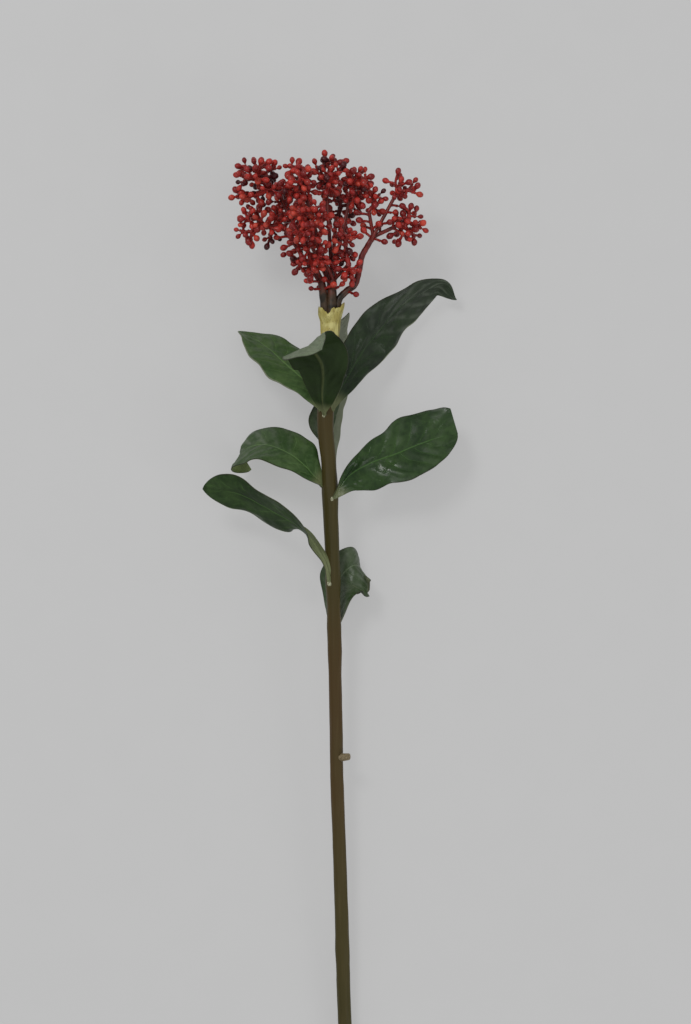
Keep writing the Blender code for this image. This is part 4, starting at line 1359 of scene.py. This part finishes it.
RIGHT_STALK = ("stalk_right", "bough_right_low", "bough_right_middle", "bough_right_high")
FOOT_SWELL = 0.9
BOUGH_FLESH = 0.3
STALK_FLESH = 0.5
LIMB_SIDES = 14
limb_heap = Heap()
for chain in [RIGHT_STALK] + [(name,) for name in limbs if name not in RIGHT_STALK]:
    line, radii = limb_line(chain)
    flesh = STALK_FLESH if chain[0] in STALKS else BOUGH_FLESH
    uneven = [r * (1 + 0.05 * math.sin(1.7 * i)) + flesh for i, r in enumerate(radii)]
    limb_heap.add(*tube(line, uneven, LIMB_SIDES))

paint = Paint("stalk_plastic", roughness=0.42, specular=0.25)
where = paint.place()
rise_up = paint.axis(where, "Y") + (FOOT_Y - COLLAR_MOUTH.y * MM)
streaks = paint.noise(paint.stretched(where, (1.0, 0.12, 1.0)), 500.0, 3.0)
patches = paint.noise(where, 150.0, 3.0)
olive = paint.mix(paint.rise(patches, 0.4, 0.6), (0.014, 0.010, 0.005), (0.050, 0.030, 0.016))
russet = paint.mix(paint.rise(streaks, 0.35, 0.7), (0.080, 0.010, 0.008), (0.165, 0.016, 0.011))
blend = paint.rise(rise_up + (patches - 0.5) * 0.02, 0.004, 0.018)
paint.set(Base_Color=paint.mix(blend, olive, russet), Normal=paint.bump(streaks, 0.0002))
finish_piece(limb_heap.piece("limbs"), "boughs", paint, "stalk", *limbs)

# %% [markdown]
# ## Glue beads
# Small whitish beads of glue show where the leaves were stuck on. Each is a sphere, flattened on the stem and
# made lumpy in code.

# %% Make the glue beads
BEADS = [((-13.7, 399.3), 1.3), ((-7.6, 352.8), 1.2), ((-12.0, 305.5), 1.7)]
beads = Heap()
for (x, y), size in BEADS:
    start_mesh()
    bpy.ops.mesh.primitive_ico_sphere_add(subdivisions=3, radius=1.0)
    bead = bpy.context.object
    touch, normal, _, _ = stem_surface.find_nearest(Vector((x, y, 8.0)))
    lean = normal.to_track_quat("Z", "Y").to_matrix()
    for vert in bead.data.vertices:
        swell = size * (1 + 0.5 * noise.noise(vert.co * 1.2 + Vector((x, y, 0.0))))
        flat = Vector((vert.co.x * swell, vert.co.y * swell * 0.7, vert.co.z * swell * 0.45))
        vert.co = touch + lean @ flat
    beads.add(*take_shape(bead))
paint = Paint("glue", roughness=0.3)
cloud = paint.noise(paint.place(), 900.0, 2.0)
milky = paint.mix(paint.rise(cloud, 0.35, 0.65), (0.13, 0.13, 0.07), (0.33, 0.33, 0.22))
paint.set(Base_Color=milky)
finish_piece(beads.piece("beads"), "glue_beads", paint, "stem")

# %% [markdown]
# ## Table and light
# The photograph's backdrop is plain and almost free of shadow. So about two thirds of the table's brightness
# is a glow of its own, the surround is brightest overhead, and two soft lamps add the highlights: one from
# the upper left and a weaker one from the lower right.

# %% Make the table and the lights
TABLE_DARK = (0.155, 0.155, 0.155)
TABLE_LIGHT = (0.165, 0.165, 0.165)
TABLE_GLOW = (0.345, 0.345, 0.345)
TABLE_DROP = 0.0004
SURROUND_GREY = (0.9, 0.9, 0.9, 1.0)
start_mesh()
bpy.ops.mesh.primitive_plane_add(size=6.0, location=(0.0, 0.0, -TABLE_DROP))
table = bpy.context.object
table.name = "table"
paint = Paint("table_grey", roughness=0.9, specular=0.1)
dust = paint.noise(paint.place(), 40.0, 2.0)
paint.set(Base_Color=paint.mix(dust, TABLE_DARK, TABLE_LIGHT), Emission_Color=TABLE_GLOW,
          Emission_Strength=1.0)
table.data.materials.append(paint.material)
bpy.context.scene.view_settings.view_transform = "Standard"

HORIZON_GLOW = 0.55
ZENITH_GLOW = 0.95
LIGHTS = {
    "key": dict(place=(-0.7, 0.9, 1.6), size=0.5, power=13.0),
    "fill": dict(place=(1.5, -1.1, 1.0), size=0.8, power=8.0),
}
for name, spec in LIGHTS.items():
    bpy.ops.object.light_add(type="AREA", location=spec["place"])
    lamp = bpy.context.object
    lamp.name = name
    lamp.data.size = spec["size"]
    lamp.data.energy = spec["power"]
    lamp.rotation_euler = (-Vector(spec["place"])).to_track_quat("-Z", "Y").to_euler()
world = bpy.data.worlds.new("surround")
world.use_nodes = True
surround = world.node_tree.nodes["Background"]
surround.inputs["Color"].default_value = SURROUND_GREY
aim = world.node_tree.nodes.new("ShaderNodeTexCoord")
parts = world.node_tree.nodes.new("ShaderNodeSeparateXYZ")
glow = world.node_tree.nodes.new("ShaderNodeMapRange")
glow.inputs["To Min"].default_value = HORIZON_GLOW
glow.inputs["To Max"].default_value = ZENITH_GLOW
world.node_tree.links.new(aim.outputs["Generated"], parts.inputs[0])
world.node_tree.links.new(parts.outputs["Z"], glow.inputs["Value"])
world.node_tree.links.new(glow.outputs["Result"], surround.inputs["Strength"])
bpy.context.scene.world = world
